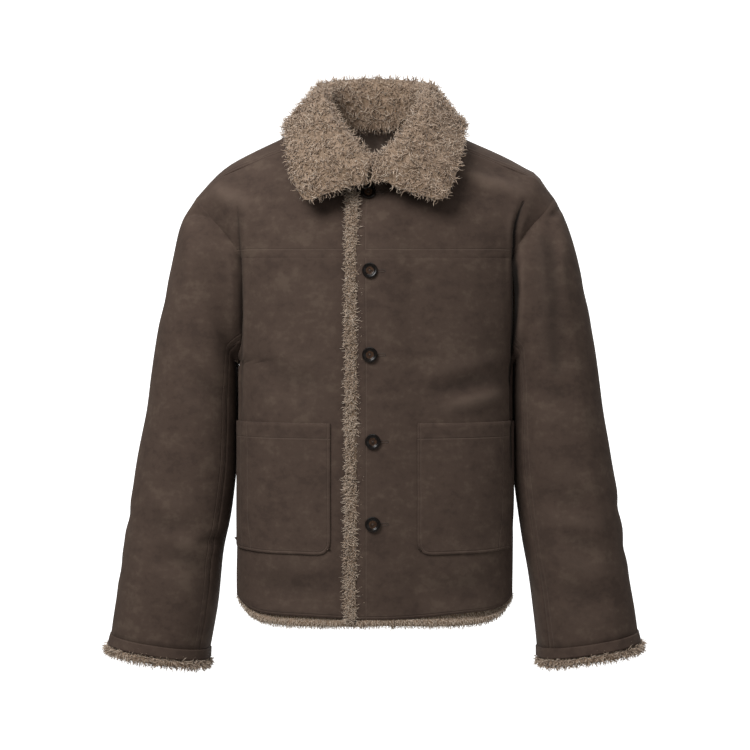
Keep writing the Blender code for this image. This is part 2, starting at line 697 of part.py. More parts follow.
def make_neck_facing(collection):
    """The smooth facing inside the back neck, from the back's own points moved in."""
    half = back_yoke_sheet()[-FACING_ROWS:, :FACING_COLUMNS]
    sheet = np.concatenate([half[:, :0:-1] * (-1, 1, 1), half], axis=1)[:, ::-1]
    sheet = sheet - normals(sheet) * (WALL + FACING_GAP)
    loft("neck_facing", trimmed(sheet, top=FACING_DROP), FACING, collection, wall=FACING_WALL)


def make_buttons(collection):
    """Each button is a turned profile whose axis is square to the front."""
    outline = bpy.data.meshes.new("button_section")
    points = [(r, 0, h) for r, h in zip(BUTTON_SECTION["radius"], BUTTON_SECTION["height"])]
    points = [(0, 0, 0), *points]
    outline.from_pydata(points[::-1], [(k, k + 1) for k in range(len(points) - 1)], [])
    lower = front_sheet(TOP_FRONT_PAST, True)
    whole = np.concatenate([lower, upper_yoke_sheet()[1:]])
    for number, (x, height) in enumerate(zip(BUTTON_X, BUTTON_HEIGHTS), 1):
        spots = np.array([at_x(row, [x])[0] for row in whole])
        y = np.interp(height, spots[:, 2], spots[:, 1])
        slope = np.interp(height, spots[:, 2], np.gradient(spots[:, 1], spots[:, 2]))
        made = place(f"button_{number}", outline.copy(), HORN, collection)
        turn = made.modifiers.new("turn", "SCREW")
        turn.steps = BUTTON_STEPS
        turn.render_steps = BUTTON_STEPS
        turn.use_merge_vertices = True
        turn.merge_threshold = 0.00005
        made.location = (x, y - BUTTON_STAND, height)
        made.rotation_euler = (math.pi / 2 - math.atan(slope), 0, 0)
    bpy.data.meshes.remove(outline)


def main():
    for old in list(bpy.data.objects):
        bpy.data.objects.remove(old)
    collection = bpy.data.collections.new("sherpa_jacket")
    bpy.context.scene.collection.children.link(collection)
    root = bpy.data.objects.new("jacket_root", None)
    collection.objects.link(root)
    make_fronts(collection)
    make_back(collection)
    make_sleeves(collection)
    make_hem_pile(collection)
    make_front_edge_pile(collection)
    make_collar(collection)
    make_neck_facing(collection)
    make_buttons(collection)


main()
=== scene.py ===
# %% [markdown]
# # A sherpa jacket, from a plain frame to a worn look
# The CAD model is a hollow jacket made of plain walls, one for each piece that a maker cuts. It has the
# right sizes and nothing else. This lesson lays a fine shell of suede-faced cloth on every wall, tucks the
# shells in at the seams, presses the folds in, topstitches the seams, sews on horn buttons and grows a
# curly pile on the collar, the front edge, the hem and the cuffs.

import math

import bmesh
import bpy
import numpy as np
from mathutils import Matrix, Vector
from mathutils import noise as noise_field
from mathutils.bvhtree import BVHTree


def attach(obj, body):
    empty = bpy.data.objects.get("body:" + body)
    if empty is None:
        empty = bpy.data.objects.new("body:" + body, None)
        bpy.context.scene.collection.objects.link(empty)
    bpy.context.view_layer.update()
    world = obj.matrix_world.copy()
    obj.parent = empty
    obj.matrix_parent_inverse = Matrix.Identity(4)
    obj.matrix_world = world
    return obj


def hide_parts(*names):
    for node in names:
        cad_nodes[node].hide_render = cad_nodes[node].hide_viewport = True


MM = 0.001
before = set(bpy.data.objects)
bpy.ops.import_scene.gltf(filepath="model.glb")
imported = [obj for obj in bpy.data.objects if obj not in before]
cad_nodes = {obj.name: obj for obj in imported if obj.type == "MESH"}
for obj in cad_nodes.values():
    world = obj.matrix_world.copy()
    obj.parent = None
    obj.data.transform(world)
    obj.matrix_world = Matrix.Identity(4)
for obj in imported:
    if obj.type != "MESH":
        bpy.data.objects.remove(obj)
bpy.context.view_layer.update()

# %% [markdown]
# ## Colours
# The colours are picked as sRGB hex values. Blender's shaders work in linear light, so one function turns
# them.

# %% Colours from hex


def linear(hex_colour):
    """An sRGB hex colour as linear red, green, blue and alpha."""
    parts = [int(hex_colour[k : k + 2], 16) / 255 for k in (1, 3, 5)]
    return (*(p / 12.92 if p <= 0.04045 else ((p + 0.055) / 1.055) ** 2.4 for p in parts), 1.0)


def add_node(tree, kind, settings=(), **links):
    """Adds a node, sets its properties, and gives each named input a value or a link."""
    made = tree.nodes.new(kind)
    for name, value in dict(settings).items():
        setattr(made, name, value)
    for name, value in links.items():
        key = int(name[1:]) if name[0] == "i" and name[1:].isdigit() else name.replace("_", " ")
        if isinstance(value, bpy.types.NodeSocket):
            tree.links.new(value, made.inputs[key])
        else:
            made.inputs[key].default_value = value
    return made


def new_material(name, **shader_values):
    """A Principled material, with uniform values set on the shader's own sockets."""
    made = bpy.data.materials.new(name)
    made.use_nodes = True
    shader = made.node_tree.nodes["Principled BSDF"]
    for key, value in shader_values.items():
        shader.inputs[key.replace("_", " ")].default_value = value
    return made, made.node_tree, shader


def blend_of(tree, share, low_colour, high_colour):
    """A colour between two, by a share from 0 to 1. Each of the two is a hex value or a link."""
    mix = add_node(tree, "ShaderNodeMix", {"data_type": "RGBA"}, Factor=share)
    for socket, colour in ((mix.inputs[6], low_colour), (mix.inputs[7], high_colour)):
        if isinstance(colour, str):
            socket.default_value = linear(colour)
        else:
            tree.links.new(colour, socket)
    return mix.outputs[2]


def arithmetic(tree, operation, first, second=0.0, third=0.0):
    """One Math node's output."""
    return add_node(tree, "ShaderNodeMath", {"operation": operation}, i0=first, i1=second, i2=third).outputs[0]


def times(tree, first, second):
    return arithmetic(tree, "MULTIPLY", first, second)


def ramp(tree, value, low, high):
    """The value mapped from low..high to 0..1, smoothly and clamped."""
    mapped = add_node(
        tree,
        "ShaderNodeMapRange",
        {"interpolation_type": "SMOOTHSTEP"},
        Value=value,
        From_Min=low,
        From_Max=high,
    )
    return mapped.outputs["Result"]


def spot_of(tree):
    """The place on the object, in metres, for a texture to be fixed to."""
    return add_node(tree, "ShaderNodeTexCoord").outputs["Object"]


def link_look(tree, shader, colour, height, strength, depth_mm):
    """Links a shader's colour, and a bump from a height."""
    tree.links.new(colour, shader.inputs["Base Color"])
    bump = add_node(tree, "ShaderNodeBump", Strength=strength, Distance=depth_mm * MM, Height=height)
    tree.links.new(bump.outputs["Normal"], shader.inputs["Normal"])


# %% [markdown]
# ## Suede-faced cloth
# The jacket's outside is bonded polyester suede: a brushed microfibre face on a knitted ground. Brushing
# leaves a short nap that lies in cloudy patches, so the eye sees pale clouds of 20 to 60 mm, built of a fine
# mottle of 5 mm, almost no gloss and a soft light rim where the face turns away. The real nap is 0.3 mm, too
# fine to show, so its bump is drawn at 1.2 mm. Seams are drawn from attributes that each shell carries: the
# distance in millimetres to the nearest edge that is stitched once, twice or close to the fold. Two more
# say where a fold closes and how far a place is pressed in: there painted shade darkens the closed folds
# and the hollows, and painted light makes the ridges paler.

# %% Suede material
NAP_MM = 1.2
MOTTLE_MM = 5.5
PATCH_MM = 15
CLOUD_MM = 46
PUCKER_MM = 9
SUEDE_BASE = "#4A3C34"
SUEDE_LIGHT = "#57493F"
SUEDE_DARK = "#42352E"
SUEDE_SHEEN = "#B09C8C"
# painted light, the colour that ridges are made paler towards
RIDGE_LIGHT = "#6B5B50"
STITCH_PALE = "#75655A"
# painted shade, the colour that hollows and closed folds are darkened towards
PAINTED_SHADE = "#0D0A08"
# Painted shade in hollows and painted light on ridges: how much of a tint each millimetre pressed in brings, the most
# that it brings, and the tint
PRESSED_SHADE_AND_LIGHT = ((0.085, 0.3, PAINTED_SHADE), (-0.16, 0.5, RIDGE_LIGHT))
STITCH_TINT = 0.16
# the most painted shade, in the middle of a closed fold
FOLD_SHADE_TINT = 0.93
# Each stitch line: its attribute, its distance from the edge and its half width, in mm
STITCH_LINES = (
    ("double_stitch_mm", 2.2, 1.3),
    ("double_stitch_mm", 9.5, 1.5),
    ("single_stitch_mm", 11.5, 1.5),
    ("edge_stitch_mm", 3.0, 1.3),
    ("hem_stitch_mm", 20.0, 1.5),
)
STITCHES = tuple(dict.fromkeys(name for name, _, _ in STITCH_LINES))


def noise(tree, vector, size_mm, detail=3.0, roughness=0.55, distortion=0.0):
    """Fractal noise whose features have the given real size."""
    return add_node(
        tree,
        "ShaderNodeTexNoise",
        Vector=vector,
        Scale=1000 / size_mm,
        Detail=detail,
        Roughness=roughness,
        Distortion=distortion,
    ).outputs["Fac"]


def attribute(tree, name):
    return add_node(tree, "ShaderNodeAttribute", {"attribute_name": name}).outputs["Fac"]


def pulse(tree, distance, middle, half_width):
    """1 on a line at the given distance, falling to 0 at half_width to either side."""
    off = arithmetic(tree, "ABSOLUTE", arithmetic(tree, "SUBTRACT", distance, middle))
    return arithmetic(tree, "SUBTRACT", 1.0, ramp(tree, off, 0.0, half_width))


def suede():
    made, tree, shader = new_material(
        "brushed_suede_cloth",
        Roughness=0.9,
        Specular_IOR_Level=0.22,
        Sheen_Weight=0.10,
        Sheen_Roughness=0.5,
        Sheen_Tint=linear(SUEDE_SHEEN),
    )
    spot = spot_of(tree)
    wide = add_node(tree, "ShaderNodeVectorMath", {"operation": "MULTIPLY"}, i0=spot, i1=(1.0, 1.0, 1.45)).outputs[0]
    clouds = noise(tree, wide, CLOUD_MM, 2.0, 0.5)
    patches = noise(tree, wide, PATCH_MM, 3.0, 0.6)
    mottle = noise(tree, spot, MOTTLE_MM, 3.0, 0.6)
    worn = arithmetic(tree, "MULTIPLY_ADD", clouds, 0.42, times(tree, patches, 0.40))
    worn = arithmetic(tree, "MULTIPLY_ADD", mottle, 0.18, worn)
    colour = blend_of(tree, ramp(tree, worn, 0.50, 0.38), SUEDE_BASE, SUEDE_DARK)
    colour = blend_of(tree, times(tree, ramp(tree, worn, 0.50, 0.64), 0.8), colour, SUEDE_LIGHT)
    edges = {name: attribute(tree, name) for name in STITCHES}
    stitched = 0.0
    for name, middle, half_width in STITCH_LINES:
        stitched = arithmetic(tree, "MAXIMUM", stitched, pulse(tree, edges[name], middle, half_width))
    pressed_in = attribute(tree, "pressed_mm")
    # painted shade in the hollows and painted light on the ridges, by how far each place is pressed in
    for rate, most, tint in PRESSED_SHADE_AND_LIGHT:
        share = arithmetic(tree, "MINIMUM", times(tree, pressed_in, rate), most)
        colour = blend_of(tree, arithmetic(tree, "MAXIMUM", share, 0.0), colour, tint)
    colour = blend_of(tree, times(tree, stitched, STITCH_TINT), colour, STITCH_PALE)
    # painted shade along closed folds and over the upper right sleeve; the same mask also sinks the bump
    fold = ramp(tree, attribute(tree, "unshaded_share"), 1.0, 0.2)
    colour = blend_of(tree, times(tree, fold, FOLD_SHADE_TINT), colour, PAINTED_SHADE)
    nap = noise(tree, spot, NAP_MM, 2.0, 0.7)
    pucker = noise(tree, spot, PUCKER_MM, 1.0, 0.4)
    by_seam = arithmetic(tree, "MINIMUM", edges["double_stitch_mm"], edges["single_stitch_mm"])
    by_seam = arithmetic(tree, "MINIMUM", by_seam, edges["edge_stitch_mm"])
    puckered = times(tree, pucker, arithmetic(tree, "SUBTRACT", 1.0, ramp(tree, by_seam, 4.0, 24.0)))
    height = arithmetic(tree, "MULTIPLY_ADD", nap, 0.10, times(tree, puckered, 0.9))
    height = arithmetic(tree, "SUBTRACT", height, times(tree, stitched, 0.6))
    height = arithmetic(tree, "MULTIPLY_ADD", mottle, 0.12, height)
    height = arithmetic(tree, "SUBTRACT", height, times(tree, fold, 2.0))
    link_look(tree, shader, colour, height, 0.9, 1.0)
    return made


suede_cloth = suede()
print("materials:", suede_cloth.name)

# %% [markdown]
# ## Curly pile
# The other face of the cloth is a polyester pile, steam-curled after knitting into loose wavy locks 8 to
# 15 mm long. The tips are the pile's own pale tone, and the roots are darkened with painted shade, as deep
# in the pile. Each lock carries two values: how far along it a point is, and its own tone. Where the pile is
# only seen deep inside, a bump stands in for the locks, with painted shade in the hollows between its curls.

# %% Pile materials
PILE_TIP = "#D2BDA7"
PILE_MID = "#AC9581"
PILE_ROOT_SHADE = "#77634F"
LOCK_DULL = "#836C59"
LOCK_PALE = "#E8D9C6"


def pile_locks():
    made, tree, shader = new_material(
        "curled_pile_locks", Roughness=0.72, Specular_IOR_Level=0.25, Sheen_Weight=0.25, Sheen_Roughness=0.45
    )
    along = attribute(tree, "along_lock")
    tone = attribute(tree, "lock_tone")
    # painted shade at the roots, the pile's own pale tone toward the tips
    colour = blend_of(tree, ramp(tree, along, 0.0, 0.45), PILE_ROOT_SHADE, PILE_MID)
    colour = blend_of(tree, ramp(tree, along, 0.35, 1.0), colour, PILE_TIP)
    colour = blend_of(tree, times(tree, ramp(tree, tone, 0.55, 0.0), 0.8), colour, LOCK_DULL)
    colour = blend_of(tree, times(tree, ramp(tree, tone, 0.8, 1.0), 0.45), colour, LOCK_PALE)
    tree.links.new(colour, shader.inputs["Base Color"])
    return made


def pile_ground():
    made, tree, shader = new_material("pile_ground", Roughness=0.95, Specular_IOR_Level=0.1, Sheen_Weight=0.2)
    spot = spot_of(tree)
    curls = noise(tree, spot, 6.0, 2.5, 0.65, 1.4)
    fine = noise(tree, spot, 2.2, 2.0, 0.6, 1.0)
    light = arithmetic(tree, "MULTIPLY_ADD", curls, 0.6, times(tree, fine, 0.4))
    # painted shade in the hollows between the curls, the mid tone on their tops
    link_look(tree, shader, blend_of(tree, ramp(tree, light, 0.38, 0.66), PILE_ROOT_SHADE, PILE_MID), light, 1.0, 4.0)
    return made


lock_pile = pile_locks()
ground_pile = pile_ground()

# %% [markdown]
# ## Shells of cloth
# A cloth shell starts from the outer face of its CAD wall. The wall's mesh is merged, its triangles are
# joined to four-sided faces, and the inner face and the narrow rims are deleted. A Subdivision Surface
# then makes the coarse sheet round. It is the quickest way to a smooth form with the CAD's own sizes.

# %% Outer skin of a wall
RIM_WIDTH = 4.6 * MM
CAGE_ROUNDS = 4
CAGE_STEP = 0.8
MERGED = 0.05 * MM  # points this near are one
FLAT_TURN = math.radians(50)  # triangles that turn less than this between them join to one face
TORSO_MIDDLE = (Vector((0, 0, -0.35)),) * 2


def merged_wall(name):
    """A CAD wall as a bmesh, merged, with its triangles joined to four-sided faces."""
    wall = bmesh.new()
    wall.from_mesh(cad_nodes[name].data)
    bmesh.ops.remove_doubles(wall, verts=wall.verts, dist=MERGED)
    bmesh.ops.join_triangles(
        wall,
        faces=wall.faces,
        angle_face_threshold=FLAT_TURN,
        angle_shape_threshold=math.pi,
        topology_influence=1.0,
    )
    return wall


def outer_skin(name, inside):
    """The outer face of one CAD wall as a bmesh. inside is the top and bottom of a line within the garment."""
    top, bottom = inside

    def looks_out(face):
        centre = face.calc_center_median()
        share = (top.z - centre.z) / max(top.z - bottom.z, 1e-6)
        return face.normal.dot(centre - top.lerp(bottom, min(max(share, 0), 1))) >= 0

    skin = merged_wall(name)
    hidden = [
        face
        for face in skin.faces
        if not looks_out(face) or min(edge.calc_length() for edge in face.edges) < RIM_WIDTH
    ]
    bmesh.ops.delete(skin, geom=hidden, context="FACES")
    return skin


def points_of(mesh):
    points = np.empty(len(mesh.vertices) * 3)
    mesh.vertices.foreach_get("co", points)
    return points.reshape(-1, 3)


def place_points(mesh, points):
    mesh.vertices.foreach_set("co", points.ravel())
    mesh.update()


def normals_of(mesh):
    return np.array([vert.normal for vert in mesh.vertices])


def area_of(mesh):
    return sum(face.area for face in mesh.polygons)


def unit_rows(ways):
    return ways / np.linalg.norm(ways, axis=1)[:, None]


def in_scene(name, data):
    """A new object in the scene that holds the data."""
    made = bpy.data.objects.new(name, data)
    bpy.context.scene.collection.objects.link(made)
    return made


def new_object(name, shape, *materials):
    """A smooth-shaded object from a bmesh, which is freed."""
    mesh = bpy.data.meshes.new(name)
    shape.to_mesh(mesh)
    shape.free()
    made = in_scene(name, mesh)
    for finish in materials:
        mesh.materials.append(finish)
    mesh.shade_smooth()
    return made


def applied(made):
    """Takes the modifiers' result as the object's own mesh."""
    graph = bpy.context.evaluated_depsgraph_get()
    result = bpy.data.meshes.new_from_object(made.evaluated_get(graph))
    old = made.data
    made.modifiers.clear()
    made.data = result
    result.name = made.name
    bpy.data.meshes.remove(old)
    return made


def rounded(name, skin, levels, *materials):
    """The skin as an object, subdivided. The cage is blown up first until its own points stay on the surface."""
    made = new_object(name, skin, *materials)
    smooth = made.modifiers.new("round", "SUBSURF")
    smooth.levels = levels
    smooth.render_levels = levels
    smooth.boundary_smooth = "PRESERVE_CORNERS"
    target = points_of(made.data)
    for _ in range(CAGE_ROUNDS):
        seen = made.evaluated_get(bpy.context.evaluated_depsgraph_get()).data
        missed = target - points_of(seen)[: len(target)]
        place_points(made.data, points_of(made.data) + CAGE_STEP * missed)
    return applied(made)


# %% [markdown]
# ## Edges that are sewn
# A maker stitches along edges, so the script has to know which edge is which. Each piece's border is
# walked as a loop and split at its corners, which a table gives as rough places: the border point
# nearest to each is the corner. Every stretch between two corners gets its name.

# %% Borders and their named edges


def border_loops(mesh):
    """Each border of a mesh, as its vertex numbers in order."""
    form = bmesh.new()
    form.from_mesh(mesh)
    steps = {}
    for edge in form.edges:
        if edge.is_boundary:
            for here, there in (edge.verts, reversed(edge.verts)):
                steps.setdefault(here.index, []).append(there.index)
    form.free()
    loops = []
    while steps:
        loop = [next(iter(steps))]
        while True:
            ways = [k for k in steps.pop(loop[-1]) if k in steps]
            if not ways:
                break
            loop.append(ways[0])
        loops.append(loop)
    return sorted(loops, key=len, reverse=True)


def named_edges(mesh, corners):
    """The border split at rough corner places: {name: points}. A corner's name is that of the edge after it."""
    points = points_of(mesh)
    loop = np.array(border_loops(mesh)[0])
    spots = [int(np.argmin(np.linalg.norm(points[loop] - place, axis=1))) for _, place in corners]
    count = len(loop)
    turned = sum((b - a) % count for a, b in zip(spots, spots[1:] + spots[:1])) > count
    if turned:
        loop = loop[::-1]
        spots = [count - 1 - k for k in spots]
    edges = {}
    for (name, _), start, end in zip(corners, spots, spots[1:] + spots[:1]):
        length = (end - start) % count
        edges[name] = points[loop[(start + np.arange(length + 1)) % count]]
    return edges


def length_of(line):
    return float(np.linalg.norm(np.diff(line, axis=0), axis=1).sum())


def run_on(line, by=0.06):
    """The line, carried on straight past both ends."""
    first, last = line[0] - line[min(3, len(line) - 1)], line[-1] - line[-min(4, len(line))]
    first, last = first / np.linalg.norm(first), last / np.linalg.norm(last)
    return np.concatenate([[line[0] + first * by], line, [line[-1] + last * by]])


def distance_to(points, line):
    """Distance from each point to a line of points, and the share of the way along it where it is nearest."""
    start, step = line[:-1], np.diff(line, axis=0)
    squared = np.maximum((step**2).sum(axis=1), 1e-12)
    best = np.full(len(points), 1e9)
    share = np.zeros(len(points))
    for k in range(len(step)):
        off = points - start[k]
        t = np.clip(off @ step[k] / squared[k], 0, 1)
        far = np.linalg.norm(off - t[:, None] * step[k], axis=1)
        nearer = far < best
        best[nearer] = far[nearer]
        share[nearer] = (k + t[nearer]) / len(step)
    return best, share


# %% [markdown]
# ## Folds and the cloth's own unevenness
# The cloth is stiff and lies smooth, so its folds are few and soft: a crease where the sleeve leaves the
# body, pulls below the armhole, slack at the elbow. Each is pressed in: spots seen from one side are
# carried onto the surface, and along them goes a trough, deepest in its middle, with a low ridge to each
# side. A negative depth makes it a ridge with a trough to each side. A slow swell of 1 mm that depends only
# on where a point is keeps big panels from looking machined, and it matches across the seams.

# %% Pressing folds
SWELL = 0.0011
SWELL_SIZE = 0.11
CREASE_POINTS = 24
SMOOTHED = 9  # points over which a crease's own normals are evened out
RIDGE_SHARE = 0.35
RIDGE_AWAY = 2.2  # in widths of the crease
FADE_POWER = 0.6  # under 1, so that a crease is deep for most of its length
FOLD_FADE_POWER = 0.35


def cad_tree():
    """All the CAD's cloth walls as one surface to aim at."""
    joined = bmesh.new()
    for name, node in cad_nodes.items():
        if name.startswith(("front_r", "front_l", "yoke", "back", "sleeve", "pocket")):
            joined.from_mesh(node.data)
    tree = BVHTree.FromBMesh(joined)
    joined.free()
    return tree


cad_bvh = cad_tree()
FAR_BEHIND = 70 * MM  # a spot this far behind the others slipped through a gap
AIMS = {"front": (1, -1), "back": (1, 1), "right": (0, 1), "left": (0, -1)}


def on_jacket(view, across, height):
    """The place that is seen at a spot of a straight view, in mm: across is X from front or back, else Y."""
    axis, side = AIMS[view]
    start, way = Vector((0, 0, height * MM)), Vector((0, 0, 0))
    start[1 - axis], start[axis], way[axis] = across * MM, side, -side
    hit, normal, _, _ = cad_bvh.ray_cast(start, way)
    return hit, normal


def crease_line(view, spots):
    """A crease's line on the jacket, through the given spots: (points, normals)."""
    spots = np.array(spots, float)
    runs = np.concatenate([[0], np.cumsum(np.linalg.norm(np.diff(spots, axis=0), axis=1))])
    at = np.linspace(0, runs[-1], CREASE_POINTS)
    places = [on_jacket(view, np.interp(t, runs, spots[:, 0]), np.interp(t, runs, spots[:, 1])) for t in at]
    found = np.array([(*hit, *normal) for hit, normal in places if hit])
    depth = found[:, AIMS[view][0]]
    found = found[np.abs(depth - np.median(depth)) < FAR_BEHIND]
    even = np.ones(SMOOTHED) / SMOOTHED
    ways = [np.convolve(np.pad(found[:, k], SMOOTHED // 2, "edge"), even, "valid") for k in (3, 4, 5)]
    return found[:, :3], unit_rows(np.stack(ways, axis=1))


def pressed(points, normals, crease):
    """How each point moves for one crease, along the line's own normals so that a seam stays closed."""
    (line, ways), width, depth = crease
    off, share = distance_to(points, line)
    fade = np.sin(math.pi * np.clip(share, 0.02, 0.98)) ** FADE_POWER
    trough = np.exp(-((off / width) ** 2))
    ridges = RIDGE_SHARE * np.exp(-(((off - RIDGE_AWAY * width) / width) ** 2))
    way = ways[np.rint(share * (len(ways) - 1)).astype(int)]
    faced = np.clip((normals * way).sum(axis=1) * 2 + 1.2, 0, 1)  # cloth that faces away stays
    return -way * (depth * fade * (trough - ridges) * faced)[:, None]


# view, spots in mm, width in mm, depth in mm
CREASES = (
    ("front", ((204, -88), (197, -106), (192, -121), (190, -135), (188, -165), (187, -215), (187, -275)), 5.0, 5.0),
    ("front", ((187, -245), (187, -300), (187, -430)), 5.0, 3.0),
    ("front", ((-188, -92), (-185, -165), (-184, -265), (-184, -390)), 6, 3.4),
    ("front", ((244, -88), (226, -110), (205, -137)), 6, -2.6),
    ("front", ((239, -112), (243, -160), (247, -235)), 7, 2.6),
    ("front", ((256, -94), (247, -104), (238, -112)), 4, 2.6),
    ("front", ((180, -325), (130, -336), (72, -350)), 12, 3.4),
    ("front", ((178, -352), (140, -358), (96, -366)), 10, -2.4),
    ("front", ((110, -46), (150, -62), (212, -76)), 12, -3.0),
    ("front", ((-228, -66), (-196, -84), (-168, -96)), 12, -3.0),
    ("front", ((-300, -560), (-270, -572), (-232, -590)), 12, 2.9),
    ("front", ((-318, -520), (-280, -532), (-240, -528)), 13, 2.4),
    ("front", ((-208, -548), (-222, -552), (-244, -556)), 6, 2.5),
    ("front", ((250, -540), (285, -556), (318, -560)), 12, 2.6),
    ("front", ((228, -480), (262, -496), (300, -492)), 13, 2.2),
    ("front", ((250, -610), (290, -628), (326, -622)), 14, 2.6),
    ("front", ((-250, -320), (-228, -345), (-205, -360)), 12, 2.4),
    ("front", ((215, -330), (240, -352), (276, -350)), 13, 2.2),
    ("front", ((-160, -300), (-120, -330), (-70, -338)), 14, 2.1),
    ("front", ((-170, -600), (-110, -612), (-50, -606)), 14, 1.9),
    ("front", ((60, -604), (120, -612), (170, -598)), 14, 1.9),
    ("back", ((-186, -110), (-184, -200), (-186, -330)), 8, 3.2),
    ("back", ((186, -105), (184, -215), (186, -350)), 8, 3.0),
    ("back", ((-150, -130), (-110, -210), (-96, -300)), 15, 2.2),
    ("back", ((152, -140), (118, -230), (108, -300)), 15, 2.0),
    ("back", ((-60, -70), (0, -84), (66, -72)), 13, 1.6),
    ("back", ((-120, -470), (-40, -500), (60, -486)), 18, 1.8),
    ("back", ((20, -540), (90, -556), (150, -536)), 16, 1.5),
    ("back", ((-300, -540), (-268, -556), (-240, -540)), 11, 2.2),
    ("back", ((300, -520), (270, -544), (240, -536)), 11, 2.4),
    ("back", ((-318, -470), (-280, -480), (-246, -466)), 12, 1.7),
    ("back", ((262, -300), (238, -330), (206, -346)), 12, 1.8),
    ("back", ((-262, -310), (-236, -336), (-206, -340)), 12, 1.8),
    ("right", ((-40, -500), (-10, -512), (24, -500)), 11, 2.0),
    ("right", ((-36, -560), (-6, -568), (22, -552)), 11, 1.8),
    ("right", ((-30, -200), (4, -220), (40, -208)), 14, 1.5),
    ("left", ((-40, -516), (-8, -524), (26, -508)), 11, 2.0),
    ("left", ((-30, -590), (0, -598), (22, -584)), 11, 1.7),
    ("left", ((-28, -216), (6, -232), (40, -214)), 14, 1.5),
)
creases = [(crease_line(view, spots), width * MM, depth * MM) for view, spots, width, depth in CREASES]

# Painted shade along the folds that close on themselves, and over the upper right sleeve: view, spots in mm, half
# width in mm, how dark from 0 to 1
RIGHT_ARMHOLE = ((204, -88), (197, -106), (192, -121), (190, -135), (188, -165), (187, -215), (187, -275))
SHADED_FOLDS = (
    ("front", (*RIGHT_ARMHOLE, (187, -330), (187, -455)), 5.6, 1.0),
    ("front", ((187, -152), (185, -215), (185, -275), (185.5, -330), (185.5, -455)), 9.5, 1.0),
    ("front", ((256, -94), (247, -104), (238, -112)), 4, 0.55),
    ("front", ((239, -112), (243, -160), (247, -235)), 6, 0.22),
    # a wide painted shade over the upper right sleeve, which is no fold
    ("front", ((230, -140), (238, -210), (246, -320)), 44, 0.36),
    ("front", ((-188, -92), (-185, -165), (-184, -265), (-184, -400)), 4.5, 0.45),
)
shaded_fold_lines = [(crease_line(view, spots)[0], half, dark) for view, spots, half, dark in SHADED_FOLDS]
print(len(creases), "creases, the longest", round(max(length_of(line) for (line, _), _, _ in creases) / MM), "mm")


def unshaded_share(points):
    """0 in the middle of a closed fold, 1 from its sides on: what the suede's painted shade in closed folds is drawn
    from.
    """
    share = np.ones(len(points))
    for line, half, dark in shaded_fold_lines:
        off, along = distance_to(points, line)
        wide = half * np.sin(math.pi * np.clip(along, 0.03, 0.97)) ** FOLD_FADE_POWER
        share = np.minimum(share, 1 - dark * np.clip(1 - off / MM / wide, 0, 1))
    return share


def swell(points):
    """A slow unevenness that depends on the place alone."""
    at = [Vector(point) / SWELL_SIZE for point in points]
    return np.array([noise_field.noise(p) * 1.6 + noise_field.noise(p * 2.3) * 0.5 for p in at]) * SWELL


# Places where the cloth is drawn aside: middle, reach and way in mm. At the right armhole the seam is drawn
# towards the sleeve and the shoulder's corner is raised. On the sleeves the slack inner side swings in behind
# the body's edge, the pockets' lower outer corners are drawn in, and the hem rises at both fronts. The
# collar, the neck, the strip beside the closing edge and the hem's pile have places of their own.
SLACK = (
    ((196, 30, -352), (30, 20, 62), (-5.5, 0, 0)),
    ((-196, 30, -352), (30, 20, 62), (5.5, 0, 0)),
)
DRAWN = (((181, -62, -215), (24, 42, 72), (6.5, 0, 0)),)
SHOULDER_RAISED = (((227, -5, -52), (13, 70, 26), (0, 0, 6)),)
POCKET_DRAWN = (
    ((194, -28, -545), (12, 30, 36), (-2.8, 0, 0)),
    ((194, -28, -551), (8, 14, 8), (-2, 0, 0)),
    ((-194, -28, -545), (12, 30, 36), (1.6, 0, 0)),
)
HEM_RAISED = (
    ((128, -100, -655), (60, 70, 28), (0, 0, 6.5)),
    ((-110, -100, -655), (62, 70, 28), (0, 0, 3.0)),
)
COLLAR_DRAWN = (
    ((-52, -30, 32), (28, 60, 36), (-8, 0, 0)),
    ((52, -30, 32), (28, 60, 36), (6, 0, 0)),
    ((0, 90, 95), (95, 60, 34), (0, 0, 5)),
    ((8, -115, -72), (15, 40, 22), (0, 0, 7)),
)
NECK_DRAWN = (((0, 64, 28), (75, 22, 16), (0, -1, -7)),)
STRIP_DRAWN = (((-34, -140, -330), (200, 200, 900), (2.8, 0, 0)),)
HEM_PILE_DRAWN = (
    ((12, -130, -650), (45, 60, 16), (0, 2, 5)),
    ((190, -55, -640), (22, 60, 30), (-4, 0, 0)),
    ((-190, -55, -640), (22, 60, 30), (4, 0, 0)),
)


BODY_LIMIT = 216  # in mm: nothing further out to the side than this moves
SHOULDER_LIMIT = 242
LIMIT_FADE = 12


def drawn(points, places, limit=BODY_LIMIT):
    """How far each point is drawn aside by the given places, and none of it further out than the limit."""
    moved = np.zeros_like(points)
    for middle, reach, way in places:
        near = ((points / MM - middle) / reach) ** 2
        beyond = np.clip(np.abs(points[:, 0:1]) / MM - limit, 0, LIMIT_FADE)
        moved += np.exp(-near.sum(axis=1))[:, None] * np.clip(1 - beyond / LIMIT_FADE, 0, 1) * np.array(way) * MM
    return moved


# %% [markdown]
# ## Seams
# Where two pieces meet, a maker turns both edges in and sews them below the surface. So each shell's
# border is extruded twice, first rounding over and then going down, and two neighbours make a fine
# groove. The same tuck makes the folded edge of the hem, the cuffs and the pockets. Before it, the kinks
# that the walls have in four places are eased. A Solidify then gives the wall its thickness, with the pile
# of the cloth's other face on its inside.

# %% Tucked shells
CLOTH_THICK = 1.8 * MM
TUCKS = ((0.7 * MM, 0.9 * MM), (0.25 * MM, 2.4 * MM))  # out past the edge, and down, for each extrusion
FLAT_SEAMS = {"yoke": 0.5, "shoulder": 0.6, "armhole": 0.15}  # the share of the tuck that is left there
LAPPED = 1.6  # and there each piece reaches further under the other
SEAM_REACH = 6 * MM
TURNED_SLOT = 2  # the turned edges are suede on both sides
FAR_MM = 99.0  # stands for no stitched edge near


